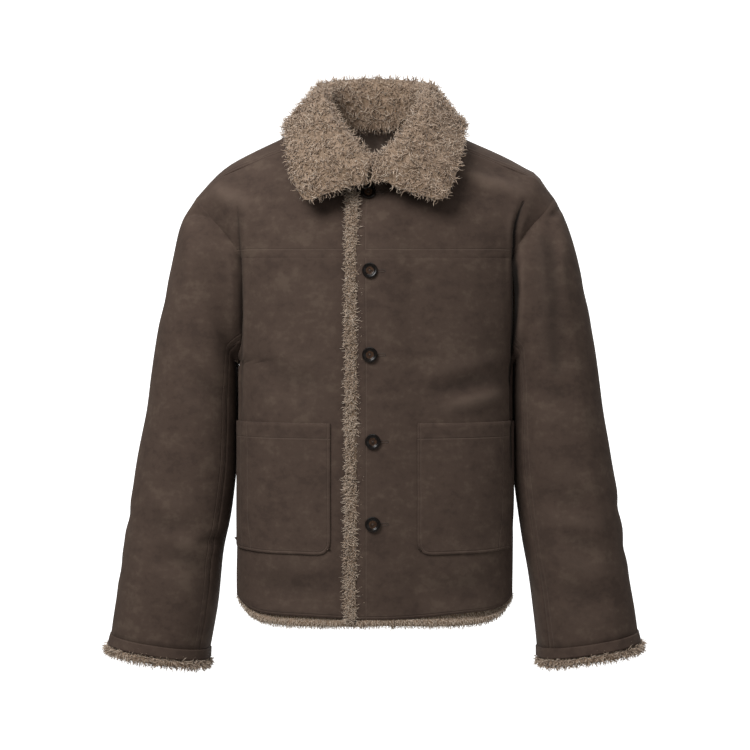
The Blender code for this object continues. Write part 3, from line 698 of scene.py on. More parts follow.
def tucked(mesh, edges):
    """Extrudes the border of a mesh over and in, as a turned edge, and less so where a seam lies flat."""
    shallow = np.ones(len(mesh.vertices))
    for name, line in edges.items():
        for kind, share in FLAT_SEAMS.items():
            if name.startswith(kind):
                shallow[distance_to(points_of(mesh), line)[0] < SEAM_REACH] = share
    form = bmesh.new()
    form.from_mesh(mesh)
    form.normal_update()
    border = [edge for edge in form.edges if edge.is_boundary]
    sheet_faces = len(form.faces)
    directions = {}
    for vert in {vert for edge in border for vert in edge.verts}:
        across = Vector((0, 0, 0))
        for face in vert.link_faces:
            across += vert.co - face.calc_center_median()
        along = Vector((0, 0, 0))
        ends = [edge.other_vert(vert) for edge in vert.link_edges if edge.is_boundary]
        if len(ends) == 2 and len(vert.link_faces) > 1:
            along = (ends[0].co - ends[1].co).normalized()
        across -= across.project(vert.normal)
        if along.length:
            across -= across.project(along)
        directions[vert.index] = (across.normalized(), vert.normal.copy())
    form.verts.ensure_lookup_table()
    source = {vert: vert.index for vert in form.verts}
    for out, down in TUCKS:
        made = bmesh.ops.extrude_edge_only(form, edges=border)["geom"]
        rows = {vert for vert in made if isinstance(vert, bmesh.types.BMVert)}
        previous = {}
        for vert in rows:
            for edge in vert.link_edges:
                other = edge.other_vert(vert)
                if other not in rows:
                    previous[vert] = source[other]
        for vert, index in previous.items():
            across, normal = directions[index]
            flat = shallow[index]
            vert.co += across * out * (1 + LAPPED * (1 - flat)) - normal * down * flat
        source = previous
        border = [edge for edge in made if isinstance(edge, bmesh.types.BMEdge) and edge.is_boundary]
    for face in list(form.faces)[sheet_faces:]:
        face.material_index = TURNED_SLOT
    form.to_mesh(mesh)
    form.free()


def store(mesh, name, values):
    """A number at each vertex, for a material to read."""
    layer = mesh.attributes.new(name, "FLOAT", "POINT")
    layer.data.foreach_set("value", np.asarray(values, np.float32))


# Where the armhole ends and the side seam starts, and beside the collar on the back, in mm
KINKS = {
    "front_right": ((164, -70, -306),),
    "front_left": ((-164, -70, -306),),
    "back": ((106, 90, -95), (-103, 90, -95)),
}


def relaxed(mesh, middle, reach=46 * MM, rounds=18):
    """Eases a kink in the cloth. The border stays."""
    form = bmesh.new()
    form.from_mesh(mesh)
    near = [vert for vert in form.verts if (vert.co - middle).length < reach and not vert.is_boundary]
    for _ in range(rounds):
        bmesh.ops.smooth_vert(form, verts=near, factor=0.5, use_axis_x=True, use_axis_y=True, use_axis_z=True)
    form.to_mesh(mesh)
    form.free()


DRAWN_PIECES = {"sleeve": SLACK, "front": HEM_RAISED, "pocket": POCKET_DRAWN}
POCKET_TUCK = ((180.5, -68, -425), (181.0, -68, -470), (180.0, -69, -520), (174.0, -74, -552))
shells = {}
sizes = {}


def cloth_shell(node, inside, corners, stitched=None, levels=3):
    """A finished cloth piece on its CAD wall. stitched names the edges that each kind of stitching follows."""
    faces_and_turns = (suede_cloth, ground_pile, suede_cloth, suede_cloth)
    made = rounded(f"{node}_cloth", outer_skin(node, inside), levels, *faces_and_turns)
    mesh = made.data
    points = points_of(mesh)
    if corners:
        edges = named_edges(mesh, corners)
    else:
        edges = {name: points[loop] for name, loop in zip(("edge", "seam"), border_loops(mesh))}
    if node.startswith("pocket"):
        edges["tuck"] = np.array(POCKET_TUCK) * (-1 if node.endswith("left") else 1, 1, 1) * MM
    normals = normals_of(mesh)
    sizes[node] = (edges, area_of(mesh))
    for kind in STITCHES:
        lines = [run_on(edges[name]) for name in (stitched or {}).get(kind, ())]
        near = [distance_to(points, line)[0] / MM for line in lines]
        store(mesh, kind, np.min(near, axis=0) if near else np.full(len(points), FAR_MM))
    store(mesh, "unshaded_share", unshaded_share(points))
    moved = normals * swell(points)[:, None] + drawn(points, DRAWN) + drawn(points, SHOULDER_RAISED, SHOULDER_LIMIT)
    for kind, places in DRAWN_PIECES.items():
        if node.startswith(kind):
            moved += drawn(points, places)
    folded = sum(pressed(points, normals, crease) for crease in creases)
    store(mesh, "pressed_mm", -(folded * normals).sum(axis=1) / MM)
    moved += folded
    place_points(mesh, points + moved)
    for middle in KINKS.get(node, ()):
        relaxed(mesh, Vector(middle) * MM)
    tucked(mesh, edges)
    wall = made.modifiers.new("wall", "SOLIDIFY")
    wall.thickness = CLOTH_THICK
    wall.offset = -1
    wall.material_offset = 1
    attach(made, "root")
    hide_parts(node)
    shells[node] = made
    print(node, len(mesh.polygons), "faces,", {name: round(length_of(line) / MM) for name, line in edges.items()})
    return made


# %% [markdown]
# ## The body
# The lower fronts, the yokes above them and one back that rolls over the shoulders to forward shoulder
# seams. The yoke is topstitched once above its seam, the shoulder seams twice, and the closing edge once.

# %% Body pieces


def mirrored(places):
    """The same rough places on the other side."""
    return [(name, (-x, y, z)) for name, (x, y, z) in places]


# Rough places, in metres
FRONT_CORNERS = [
    ("hem", (-0.024, -0.130, -0.655)),
    ("side", (0.192, 0.000, -0.630)),
    ("armhole", (0.190, 0.000, -0.305)),
    ("yoke", (0.180, -0.065, -0.166)),
    ("closing", (-0.024, -0.130, -0.169)),
]
YOKE_CORNERS = [
    ("yoke", (-0.024, -0.130, -0.168)),
    ("armhole", (0.180, -0.065, -0.165)),
    ("shoulder", (0.248, -0.019, -0.083)),
    ("neck", (0.089, -0.040, -0.008)),
    ("closing", (-0.023, -0.092, -0.060)),
]
BACK_CORNERS = [
    ("hem", (-0.192, 0.000, -0.630)),
    ("side_right", (0.192, 0.000, -0.630)),
    ("armhole_right", (0.190, 0.000, -0.305)),
    ("shoulder_right", (0.248, -0.019, -0.083)),
    ("neck", (0.089, -0.040, -0.008)),
    ("shoulder_left", (-0.089, -0.040, -0.008)),
    ("armhole_left", (-0.248, -0.019, -0.083)),
    ("side_left", (-0.190, 0.000, -0.305)),
]
FRONT_STITCHES = {"single_stitch_mm": ("closing",), "edge_stitch_mm": ("hem",)}
YOKE_STITCHES = {"single_stitch_mm": ("yoke", "closing")}
BACK_STITCHES = {"double_stitch_mm": ("shoulder_right", "shoulder_left"), "edge_stitch_mm": ("hem",)}

cloth_shell("front_right", TORSO_MIDDLE, FRONT_CORNERS, FRONT_STITCHES)
cloth_shell("front_left", TORSO_MIDDLE, mirrored(FRONT_CORNERS), FRONT_STITCHES)
cloth_shell("yoke_right", TORSO_MIDDLE, YOKE_CORNERS, YOKE_STITCHES)
cloth_shell("yoke_left", TORSO_MIDDLE, mirrored(YOKE_CORNERS), YOKE_STITCHES)
cloth_shell("back", TORSO_MIDDLE, BACK_CORNERS, BACK_STITCHES, 2)

# %% [markdown]
# ## The sleeves
# Each sleeve is cut in two, a wide top and a narrow under piece, and ends in a turned band.

# %% Sleeve pieces
SLEEVE_LINE = ((0.200, 0.004, -0.200), (0.278, -0.013, -0.700))
TOP_CORNERS = [
    ("cuff", (0.240, -0.054, -0.702)),
    ("back_seam", (0.304, 0.028, -0.692)),
    ("armhole", (0.184, 0.060, -0.166)),
    ("front_seam", (0.187, -0.047, -0.281)),
]
TOP_STITCHES = {"double_stitch_mm": ("front_seam",)}

for word, side in (("right", 1), ("left", -1)):
    corners = TOP_CORNERS if side == 1 else mirrored(TOP_CORNERS)
    middle = [Vector((side * x, y, z)) for x, y, z in SLEEVE_LINE]
    cloth_shell(f"sleeve_top_{word}", middle, corners, TOP_STITCHES)
    cloth_shell(f"sleeve_under_{word}", middle, corners, levels=2)
    cloth_shell(f"cuff_band_{word}", middle, None)

# %% [markdown]
# ## Patch pockets
# A patch pocket is a flat piece, turned in all round, edge-stitched to the front on three sides and left
# open at its top, where a deep hem is stitched down.

# %% Pockets
POCKET_CORNERS = [
    ("bottom", (0.062, -0.131, -0.560)),
    ("outer", (0.194, -0.027, -0.549)),
    ("top", (0.193, -0.025, -0.390)),
    ("inner", (0.058, -0.132, -0.392)),
]
POCKET_STITCHES = {"edge_stitch_mm": ("bottom", "inner"), "hem_stitch_mm": ("top",), "single_stitch_mm": ("tuck",)}
cloth_shell("pocket_right", TORSO_MIDDLE, POCKET_CORNERS, POCKET_STITCHES)
cloth_shell("pocket_left", TORSO_MIDDLE, mirrored(POCKET_CORNERS), POCKET_STITCHES)

# %% [markdown]
# ## The collar's cloth and the neck facing
# The collar's suede side is a closed wall of its own, so it is copied whole. Inside the back neck lies a
# smooth facing, a plain twill, that covers the pile of the back there.

# %% Collar cloth and facing
TWILL_MM = 1.6  # the real twill line is 0.5 mm, too fine to show
# Both twill tones are lifted well above the cloth's own, painted light where the collar shades the facing
TWILL_PALE_LIFTED = "#98867A"
TWILL_DARK_LIFTED = "#6E5F55"
FACING_THICK = 0.8 * MM
FACING_RISE = 11 * MM  # how far its upper edge goes in under the pile
FACING_MIDDLE = (Vector((0, 1, -0.1)),) * 2


def facing_twill():
    made, tree, shader = new_material("neck_facing_twill", Roughness=0.8, Specular_IOR_Level=0.25, Sheen_Weight=0.1)
    spot = spot_of(tree)
    lines = add_node(
        tree,
        "ShaderNodeTexWave",
        {"wave_type": "BANDS", "bands_direction": "DIAGONAL"},
        Vector=spot,
        Scale=1000 / TWILL_MM / 20,
        Distortion=0.6,
    ).outputs["Fac"]
    cloud = noise(tree, spot, 18, 3.0)
    shade = arithmetic(tree, "MULTIPLY_ADD", lines, 0.3, times(tree, cloud, 0.5))
    link_look(tree, shader, blend_of(tree, shade, TWILL_PALE_LIFTED, TWILL_DARK_LIFTED), lines, 0.5, 0.3)
    return made


facing_cloth = facing_twill()


def whole_copy(node, name, levels, *materials):
    """A rounded copy of a closed CAD wall."""
    return rounded(name, merged_wall(node), levels, *materials)


def draw_aside(made, places):
    points = points_of(made.data)
    place_points(made.data, points + drawn(points, places))


collar_cloth = whole_copy("collar_under", "collar_under_cloth", 2, suede_cloth)
draw_aside(collar_cloth, COLLAR_DRAWN)
for kind in STITCHES:
    store(collar_cloth.data, kind, np.full(len(collar_cloth.data.vertices), FAR_MM))
store(collar_cloth.data, "unshaded_share", np.ones(len(collar_cloth.data.vertices)))
store(collar_cloth.data, "pressed_mm", np.zeros(len(collar_cloth.data.vertices)))
facing = rounded("neck_facing_cloth", outer_skin("neck_facing", FACING_MIDDLE), 2, facing_cloth)
points = points_of(facing.data)
height = (points[:, 2] - points[:, 2].min()) / np.ptp(points[:, 2])
inward = (0, 0.02, 0) - points
inward[:, 2] = 0
points += (unit_rows(inward) * 0.74 + (0, 0, 0.67)) * (FACING_RISE * height**2)[:, None]
place_points(facing.data, points)
for made, node, slot in ((collar_cloth, "collar_under", "suede_cloth"), (facing, "neck_facing", "facing_cloth")):
    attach(made, "root")
    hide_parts(node)
    print(made.name, len(made.data.polygons), "faces,", round(area_of(made.data) * 1e4), "cm2")
facing_wall = facing.modifiers.new("wall", "SOLIDIFY")
facing_wall.thickness = FACING_THICK
facing_wall.offset = -1

# %% [markdown]
# ## One lock of pile
# A lock is a few fibres curled together: at this size, a three-sided tube that is drawn out ring by ring
# along a winding line and closed to a point. Eight shapes, copied thousands of times with their own turn,
# length and tone, never look alike, and each has only 22 triangles. Where the pile is short, six shapes of
# 16 triangles do.

# %% Lock shapes


def lock_shape(seed, length, width, swing, waves, rings=4):
    """One lock that grows along +Z from the origin: (points, faces, share along it)."""
    chance = np.random.default_rng(seed)
    start, spiral = chance.uniform(0, 2 * math.pi), chance.choice((-1, 1)) * chance.uniform(0.7, 1.1)
    bend = chance.uniform(-0.45, 0.45, 2)

    def middle(share):
        """The middle of the lock at a share of its length: it winds, bends and droops at its tip."""
        angle = start + spiral * waves * 2 * math.pi * share
        out = swing * share**0.8
        return Vector(
            (
                out * (math.cos(angle) - math.cos(start) * (1 - share)) + bend[0] * length * share**2,
                out * (math.sin(angle) - math.sin(start) * (1 - share)) * 0.8 + bend[1] * length * share**2,
                length * (share - 0.18 * share**2),
            )
        )

    form = bmesh.new()
    along = form.verts.layers.float.new("along_lock")
    bmesh.ops.create_circle(form, cap_ends=True, segments=3, radius=width / 2)
    edges = list(form.edges)
    for step in range(1, rings + 1):
        share = step / rings
        shift = middle(share) - middle(share - 1 / rings)
        made = bmesh.ops.extrude_edge_only(form, edges=edges)["geom"]
        ring = [part for part in made if isinstance(part, bmesh.types.BMVert)]
        edges = [part for part in made if isinstance(part, bmesh.types.BMEdge) and set(part.verts) <= set(ring)]
        bmesh.ops.translate(form, verts=ring, vec=shift)
        thinner = 1 - 0.22 * share / (1.1 - 0.5 * share)
        here = Matrix.Translation(-sum((v.co for v in ring), Vector()) / 3)
        bmesh.ops.scale(form, verts=ring, vec=Vector((thinner,) * 3), space=here)
        for vert in ring:
            vert[along] = share
    bmesh.ops.pointmerge(form, verts=ring, merge_co=ring[0].co)
    bmesh.ops.recalc_face_normals(form, faces=form.faces)
    form.verts.index_update()
    shape = (
        np.array([vert.co[:] for vert in form.verts]),
        [[vert.index for vert in face.verts] for face in form.faces],
        np.array([vert[along] for vert in form.verts]),
    )
    form.free()
    return shape


CURLY = [lock_shape(k, 12 * MM, 1.45 * MM, 1.9 * MM, 0.75 + 0.08 * (k % 4)) for k in range(8)]
SHORT = [lock_shape(20 + k, 8 * MM, 1.1 * MM, 0.9 * MM, 0.5, 3) for k in range(6)]
STRAIGHT = [lock_shape(40 + k, 8 * MM, 1.0 * MM, 0.4 * MM, 0.3, 3) for k in range(6)]
FINE = [lock_shape(60 + k, 9 * MM, 0.95 * MM, 0.7 * MM, 0.4, 3) for k in range(6)]
print("a lock has", len(CURLY[0][0]), "points and", len(CURLY[0][1]), "faces")

# %% [markdown]
# ## Growing the pile
# Real pile is knitted in rows a few millimetres apart and combed by wear, so neighbours lean the same way
# in tufts of about 12 mm. Roots are thrown on the base form with a least distance between them, a slow
# noise field turns their lean, and a lock that would pierce the cloth is cut short or left out.

# %% Roots and growth
TRIES = 2.6  # roots thrown for each that there is room for
CLEAR_ROOT = 0.8 * MM  # a lock's way is looked along from here on
LEAST_ROOM = 0.45  # a lock with less of its length free is left out
CUT_SHARE = 0.8  # of the free length, for a lock that is cut short


def spread_roots(mesh, spacing, seed):
    """Points on a mesh, at least the spacing apart: (places, normals)."""
    mesh.calc_loop_triangles()
    chance = np.random.default_rng(seed)
    corners = np.array([triangle.vertices for triangle in mesh.loop_triangles])
    points = points_of(mesh)
    normals = normals_of(mesh)
    a, b, c = (points[corners[:, k]] for k in range(3))
    areas = np.linalg.norm(np.cross(b - a, c - a), axis=1) / 2
    tries = int(areas.sum() / spacing**2 * TRIES)
    pick = chance.choice(len(areas), tries, p=areas / areas.sum())
    u, v = chance.random(tries), chance.random(tries)
    flip = u + v > 1
    u[flip], v[flip] = 1 - u[flip], 1 - v[flip]
    weights = np.stack([1 - u - v, u, v], axis=1)[:, :, None]
    places = (points[corners[pick]] * weights).sum(axis=1)
    grown = unit_rows((normals[corners[pick]] * weights).sum(axis=1))
    cells = {}
    kept = []
    for k, cell in enumerate(map(tuple, np.floor(places / spacing).astype(int))):
        near = (
            other
            for dx in (-1, 0, 1)
            for dy in (-1, 0, 1)
            for dz in (-1, 0, 1)
            for other in cells.get((cell[0] + dx, cell[1] + dy, cell[2] + dz), ())
        )
        if all(((places[k] - places[other]) ** 2).sum() > spacing**2 for other in near):
            cells.setdefault(cell, []).append(k)
            kept.append(k)
    return places[kept], grown[kept]


def tufted(places, size, seed):
    """A vector at each place that turns slowly, over about the size."""
    noise_field.seed_set(1)  # its vectors would otherwise start from the clock
    shift = Vector((seed * 7.3, 1.7, -seed * 3.1))
    return np.array([noise_field.noise_vector(Vector(place) / size + shift) for place in places])


def cloth_tree():
    """All the cloth that a lock may not pierce. Its faces are put in a fixed order, which extruding doesn't keep."""
    places, corners = [], []
    for made in [*shells.values(), collar_cloth, facing]:
        faces = [tuple(face.vertices) for face in made.data.polygons]
        faces = sorted(face[face.index(min(face)) :] + face[: face.index(min(face))] for face in faces)
        corners.extend([corner + len(places) for corner in face] for face in faces)
        places.extend(vert.co.copy() for vert in made.data.vertices)
    return BVHTree.FromPolygons(places, corners)


cloth_bvh = cloth_tree()


def grow(name, shapes, places, directions, lengths, tones, seed):
    """One mesh of many locks. lengths are shares of the shape's own; each lock gets a random turn."""
    chance = np.random.default_rng(seed)
    which = chance.integers(0, len(shapes), len(places))
    turn = chance.uniform(0, 2 * math.pi, len(places))
    kept, cut = [], []
    for k, (place, way, share) in enumerate(zip(places, directions, lengths)):
        reach = share * shapes[0][0][:, 2].max() * 1.05
        hit = cloth_bvh.ray_cast(Vector(place + way * CLEAR_ROOT), Vector(way), reach)[3]
        if hit is None or hit > LEAST_ROOM * reach:
            kept.append(k)
            cut.append(share if hit is None else share * CUT_SHARE * hit / reach)
    kept = np.array(kept)
    places, directions, tones, lengths = places[kept], directions[kept], tones[kept], np.array(cut)
    which, turn = which[kept], turn[kept]
    side = unit_rows(np.cross(directions, (0.31, 0.52, 0.79)))
    other = np.cross(directions, side)
    right = side * np.cos(turn)[:, None] + other * np.sin(turn)[:, None]
    up = np.cross(directions, right)
    all_points, all_along, all_tones, corner_lists, corner_counts = [], [], [], [], []
    base = 0
    for kind, (form, faces, along) in enumerate(shapes):
        here = np.flatnonzero(which == kind)
        axes = np.stack([right[here], up[here], directions[here]], axis=1)
        wide = 0.75 + 0.25 * lengths[here]
        sized = form[None] * np.stack([wide, wide, lengths[here]], axis=1)[:, None]
        all_points.append((np.einsum("nvk,nkj->nvj", sized, axes) + places[here][:, None]).reshape(-1, 3))
        all_along.append(np.tile(along, len(here)))
        all_tones.append(np.repeat(tones[here], len(form)))
        flat = np.array([corner for face in faces for corner in face])
        starts = base + np.arange(len(here))[:, None] * len(form)
        corner_lists.append((flat[None] + starts).ravel())
        corner_counts.append(np.tile([len(face) for face in faces], len(here)))
        base += len(here) * len(form)
    points, corners, counts = (np.concatenate(part) for part in (all_points, corner_lists, corner_counts))
    mesh = bpy.data.meshes.new(name)
    mesh.vertices.add(len(points))
    mesh.vertices.foreach_set("co", points.astype(np.float32).ravel())
    mesh.loops.add(len(corners))
    mesh.loops.foreach_set("vertex_index", corners.astype(np.int32))
    mesh.polygons.add(len(counts))
    mesh.polygons.foreach_set("loop_start", np.concatenate([[0], np.cumsum(counts)[:-1]]).astype(np.int32))
    mesh.update(calc_edges=True)
    mesh.materials.append(lock_pile)
    store(mesh, "along_lock", np.concatenate(all_along))
    store(mesh, "lock_tone", np.concatenate(all_tones))
    mesh.shade_smooth()
    made = in_scene(name, mesh)
    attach(made, "root")
    print(name, len(kept), "locks,", int((counts - 2).sum()), "triangles")
    return made


def pile_base(node, levels, sink):
    """The pile's ground: the CAD solid of the pile's reach, rounded and sunk by the depth of the locks."""
    made = whole_copy(node, f"{node}_ground", levels, ground_pile)
    place_points(made.data, points_of(made.data) - normals_of(made.data) * sink)
    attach(made, "root")
    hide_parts(node)
    return made


def leaning(normals, flow, rise):
    """Directions that lean from the normals along a flow, by a rise from 0, flat, to 1, upright."""
    along = flow - normals * (flow * normals).sum(axis=1)[:, None]
    return unit_rows(normals * rise + along)


# %% [markdown]
# ## Pile of the collar
# The collar is rolled over, so its pile stands out all round the roll, and at the leaf's edge the tips
# hang past the cloth below.

# %% Collar pile
COLLAR_SINK = 5.8 * MM
COLLAR_SPACING = 2.36 * MM
COLLAR_TUFT = 13 * MM
COLLAR_STRAY = 0.38
COLLAR_DROP = (0, 0, -0.30)
COLLAR_RISE = 0.55
COLLAR_TONE_PATCH = 22 * MM
NEAR_FACING = 14 * MM  # where the locks hang down over the facing's edge
FACING_DROP = (0, 0, -2.5)
THIRDS = (-40 * MM, 40 * MM)  # the collar's locks are three pieces, so that none is too heavy
collar_ground = pile_base("collar_pile", 2, COLLAR_SINK)
draw_aside(collar_ground, COLLAR_DRAWN + NECK_DRAWN)
places, normals = spread_roots(collar_ground.data, COLLAR_SPACING, 5)
chance = np.random.default_rng(11)
flow = tufted(places, COLLAR_TUFT, 1) * 1.5 + chance.normal(0, COLLAR_STRAY, places.shape) + COLLAR_DROP
facing_bvh = BVHTree.FromPolygons([v.co for v in facing.data.vertices], [p.vertices for p in facing.data.polygons])
by_facing = np.array([facing_bvh.find_nearest(Vector(place))[3] < NEAR_FACING for place in places])
flow[by_facing] += FACING_DROP
ways = leaning(normals, flow, COLLAR_RISE)
lengths = chance.uniform(0.74, 1.08, len(places))
tones = 0.5 + 0.22 * chance.normal(size=len(places)) + 0.5 * tufted(places, COLLAR_TONE_PATCH, 3)[:, 0]
tones = np.clip(tones, 0, 1)
third = np.digitize(places[:, 0], THIRDS)
for k, word in enumerate(("left", "middle", "right")):
    part = third == k
    grow(f"collar_locks_{word}", CURLY, places[part], ways[part], lengths[part], tones[part], 17 + k)

# %% [markdown]
# ## Pile along the closing edge, the hem and the cuffs
# The cloth is cut with its pile, so at every edge the pile looks out. Beside the buttons it is a strip of
# short curls, at the hem a dense smooth fringe that hangs straight down, and at the cuffs ragged tufts.

# %% Edge piles
EDGE_TUFT = 10 * MM
EDGE_TONE_PATCH = 20 * MM


def edge_pile(node, shapes, sink, spacing, drop, rise, stray, sizes, painted_lift, seed, aside=0.0, moved=()):
    """A strip of pile on its CAD solid: drop pulls the locks down, stray scatters them, aside parts them."""
    ground = pile_base(node, 1, sink * MM)
    draw_aside(ground, moved)
    places, normals = spread_roots(ground.data, spacing * MM, seed)
    chance = np.random.default_rng(seed)
    flow = tufted(places, EDGE_TUFT, seed) * stray * 2 + chance.normal(0, stray, places.shape) + (0, 0, -drop)
    flow[:, 0] += aside * np.sign(flow[:, 0])
    ways = unit_rows(leaning(normals, flow, rise) + np.array((0, 0, -0.5 * drop)))
    lengths = chance.uniform(*sizes, len(places))
    # painted light: the edge's locks are made paler where the pile lies in shade
    tones = 0.5 + painted_lift + 0.20 * chance.normal(size=len(places))
    tones = tones + 0.35 * tufted(places, EDGE_TONE_PATCH, 9)[:, 0]
    grow(f"{node}_locks", shapes, places, ways, lengths, np.clip(tones, 0, 1), seed)


# sink and spacing in mm, sizes as the least and the most share of a lock's own length, and the tone added as painted
# light where an edge's pile lies in shade
STRIP = dict(sink=2.6, spacing=1.42, drop=0.1, rise=0.75, stray=0.40, sizes=(0.7, 1.25), painted_lift=0.36, aside=0.55)
FRINGE = dict(sink=1.5, spacing=2.0, drop=0.9, rise=0.30, stray=0.20, sizes=(0.7, 1.0), painted_lift=0.75)
TUFTS = dict(sink=2.0, spacing=1.7, drop=0.5, rise=0.45, stray=0.42, sizes=(0.7, 1.6), painted_lift=0.25)
edge_pile("front_edge_pile", FINE, seed=5, moved=STRIP_DRAWN, **STRIP)
edge_pile("hem_pile", STRAIGHT, seed=7, moved=HEM_PILE_DRAWN, **FRINGE)
edge_pile("cuff_pile_right", SHORT, seed=9, **TUFTS)
edge_pile("cuff_pile_left", SHORT, seed=11, **TUFTS)

# %% [markdown]
# ## Buttons
# The buttons are polished dark horn, 21 mm across, with a thick raised rim round a sunk paler middle and
# four holes. The section is spun round, the holes are cut, and a crossed thread holds it.

# %% Button form
BUTTON_SECTION = (  # radius and height, in mm
    (0.0, -2.0),
    (7.4, -2.0),
    (9.5, -1.3),
    (10.4, 0.0),
    (10.2, 1.2),
    (9.2, 2.0),
    (7.6, 1.9),
    (6.2, 1.0),
    (5.4, 0.35),
    (4.6, 0.2),
    (0.0, 0.1),
)
HOLE_SPACING = 1.7 * MM
HOLE_RADIUS = 0.8 * MM
THREAD_RADIUS = 0.42 * MM
BUTTON_TURN = 23  # degrees that each button is turned further than the last
RIM_HORN = ("#0B0705", "#1A110B")
MIDDLE_HORN = ("#2C1E15", "#4F3929")
THREAD_BROWNS = ("#2C211A", "#4C3D33")


def horn():
    made, tree, shader = new_material("polished_dark_horn", Roughness=0.27, IOR=1.45, Specular_IOR_Level=0.32)
    spot = spot_of(tree)
    streaks = noise(tree, spot, 5.0, 3.0, 0.6, 2.5)
    sunk = ramp(tree, attribute(tree, "from_centre_mm"), 5.9, 4.8)
    dark = blend_of(tree, ramp(tree, streaks, 0.4, 0.7), *RIM_HORN)
    pale = blend_of(tree, ramp(tree, streaks, 0.35, 0.7), *MIDDLE_HORN)
    fine = noise(tree, spot, 1.5, 2.0, 0.6)
    link_look(tree, shader, blend_of(tree, sunk, dark, pale), fine, 0.25, 0.2)
    return made


def thread():
    made, tree, shader = new_material("twisted_thread", Roughness=0.7)
    twist = noise(tree, spot_of(tree), 0.9, 2.0, 0.6, 1.0)
    link_look(tree, shader, blend_of(tree, twist, *THREAD_BROWNS), twist, 0.6, 0.2)
    return made


dark_horn = horn()
sewing_thread = thread()


def button_form():
    """A button that lies in the XY plane and faces +Z, with its four holes cut."""
    form = bmesh.new()
    line = [form.verts.new((r * MM, 0, z * MM)) for r, z in BUTTON_SECTION]
    edges = [form.edges.new(pair) for pair in zip(line, line[1:])]
    bmesh.ops.spin(
        form, geom=[*line, *edges], axis=(0, 0, 1), cent=(0, 0, 0), steps=40, angle=2 * math.pi, use_merge=True
    )
    bmesh.ops.remove_doubles(form, verts=form.verts, dist=0.01 * MM)
    bmesh.ops.recalc_face_normals(form, faces=form.faces)
    body = new_object("button", form, dark_horn)
    cutter = bmesh.new()
    for k in range(4):
        angle = math.radians(45 + 90 * k)
        place = Matrix.Translation((HOLE_SPACING * math.cos(angle), HOLE_SPACING * math.sin(angle), 0))
        bmesh.ops.create_cone(
            cutter, cap_ends=True, segments=12, radius1=HOLE_RADIUS, radius2=HOLE_RADIUS, depth=8 * MM, matrix=place
        )
    tool = new_object("hole_cutter", cutter, dark_horn)
    cut = body.modifiers.new("holes", "BOOLEAN")
    cut.operation = "DIFFERENCE"
    cut.object = tool
    cut.solver = "EXACT"
    applied(body)
    bpy.data.objects.remove(tool)
    points = points_of(body.data)
    store(body.data, "from_centre_mm", np.linalg.norm(points[:, :2], axis=1) / MM)
    body.data.shade_smooth()
    body.data.set_sharp_from_angle(angle=math.radians(40))
    return body


def thread_cross():
    """Two crossed arches of thread over the holes."""
    form = bmesh.new()
    for turn in (45, 135):
        spun = bmesh.new()
        made = bmesh.ops.create_circle(
            spun, segments=8, radius=THREAD_RADIUS, matrix=Matrix.Translation((HOLE_SPACING, 0, 0))
        )["verts"]
        bmesh.ops.spin(
            spun, geom=[*made, *spun.edges], axis=(0, -1, 0), cent=(0, 0, 0), steps=12, angle=math.pi, use_merge=False
        )
        bmesh.ops.scale(spun, verts=spun.verts, vec=(1, 1.5, 0.55))
        bmesh.ops.rotate(spun, verts=spun.verts, cent=(0, 0, 0), matrix=Matrix.Rotation(math.radians(turn), 3, "Z"))
        bmesh.ops.translate(spun, verts=spun.verts, vec=(0, 0, 0.1 * MM))
        bmesh.ops.holes_fill(spun, edges=spun.edges, sides=8)
        bmesh.ops.recalc_face_normals(spun, faces=spun.faces)
        part = bpy.data.meshes.new("arch")
        spun.to_mesh(part)
        spun.free()
        form.from_mesh(part)
        bpy.data.meshes.remove(part)
    return form


def turned_to(place, way):
    """The matrix that sets a form at a place, its own Z along the way."""
    return Matrix.Translation(place) @ way.to_track_quat("Z", "Y").to_matrix().to_4x4()


pattern = button_form()
for number in range(1, 6):
    node = f"button_{number}"
    points = points_of(cad_nodes[node].data)
    centre = (points.min(axis=0) + points.max(axis=0)) / 2
    axes = np.linalg.svd(points - points.mean(axis=0), full_matrices=False)[2]
    facing_way = Vector(axes[2])
    if facing_way.y > 0:
        facing_way = -facing_way
    place = turned_to(centre, facing_way) @ Matrix.Rotation(math.radians(BUTTON_TURN * number), 4, "Z")
    made = in_scene(f"{node}_horn", pattern.data.copy())
    made.data.transform(place)
    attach(made, "root")
    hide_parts(node)
    cross = new_object(f"{node}_thread", thread_cross(), sewing_thread)
    cross.data.transform(place)
    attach(cross, "root")
    print(node, "at", [round(c / MM, 1) for c in centre], "faces", [round(c, 2) for c in facing_way])
bpy.data.objects.remove(pattern)

# %% [markdown]
# ## Buttonholes
# Each button comes up through a worked slit: a fine dark cut, 22 mm long, with a raised edge of thread
# round it. Only its end beyond the button shows.

# %% Buttonholes
SLIT_LONG = 22 * MM
SLIT_HALF = 1.5 * MM  # from its middle line to its edge's
SLIT_EDGE = 0.55 * MM
SLIT_PAST = 10.5 * MM  # the slit's middle, to the right of the button's
# x and z of each button from the top, in mm
BUTTONS = ((-9.0, -79.5), (-7.0, -186.5), (-7.0, -299.0), (-3.0, -415.0), (-3.0, -525.5))


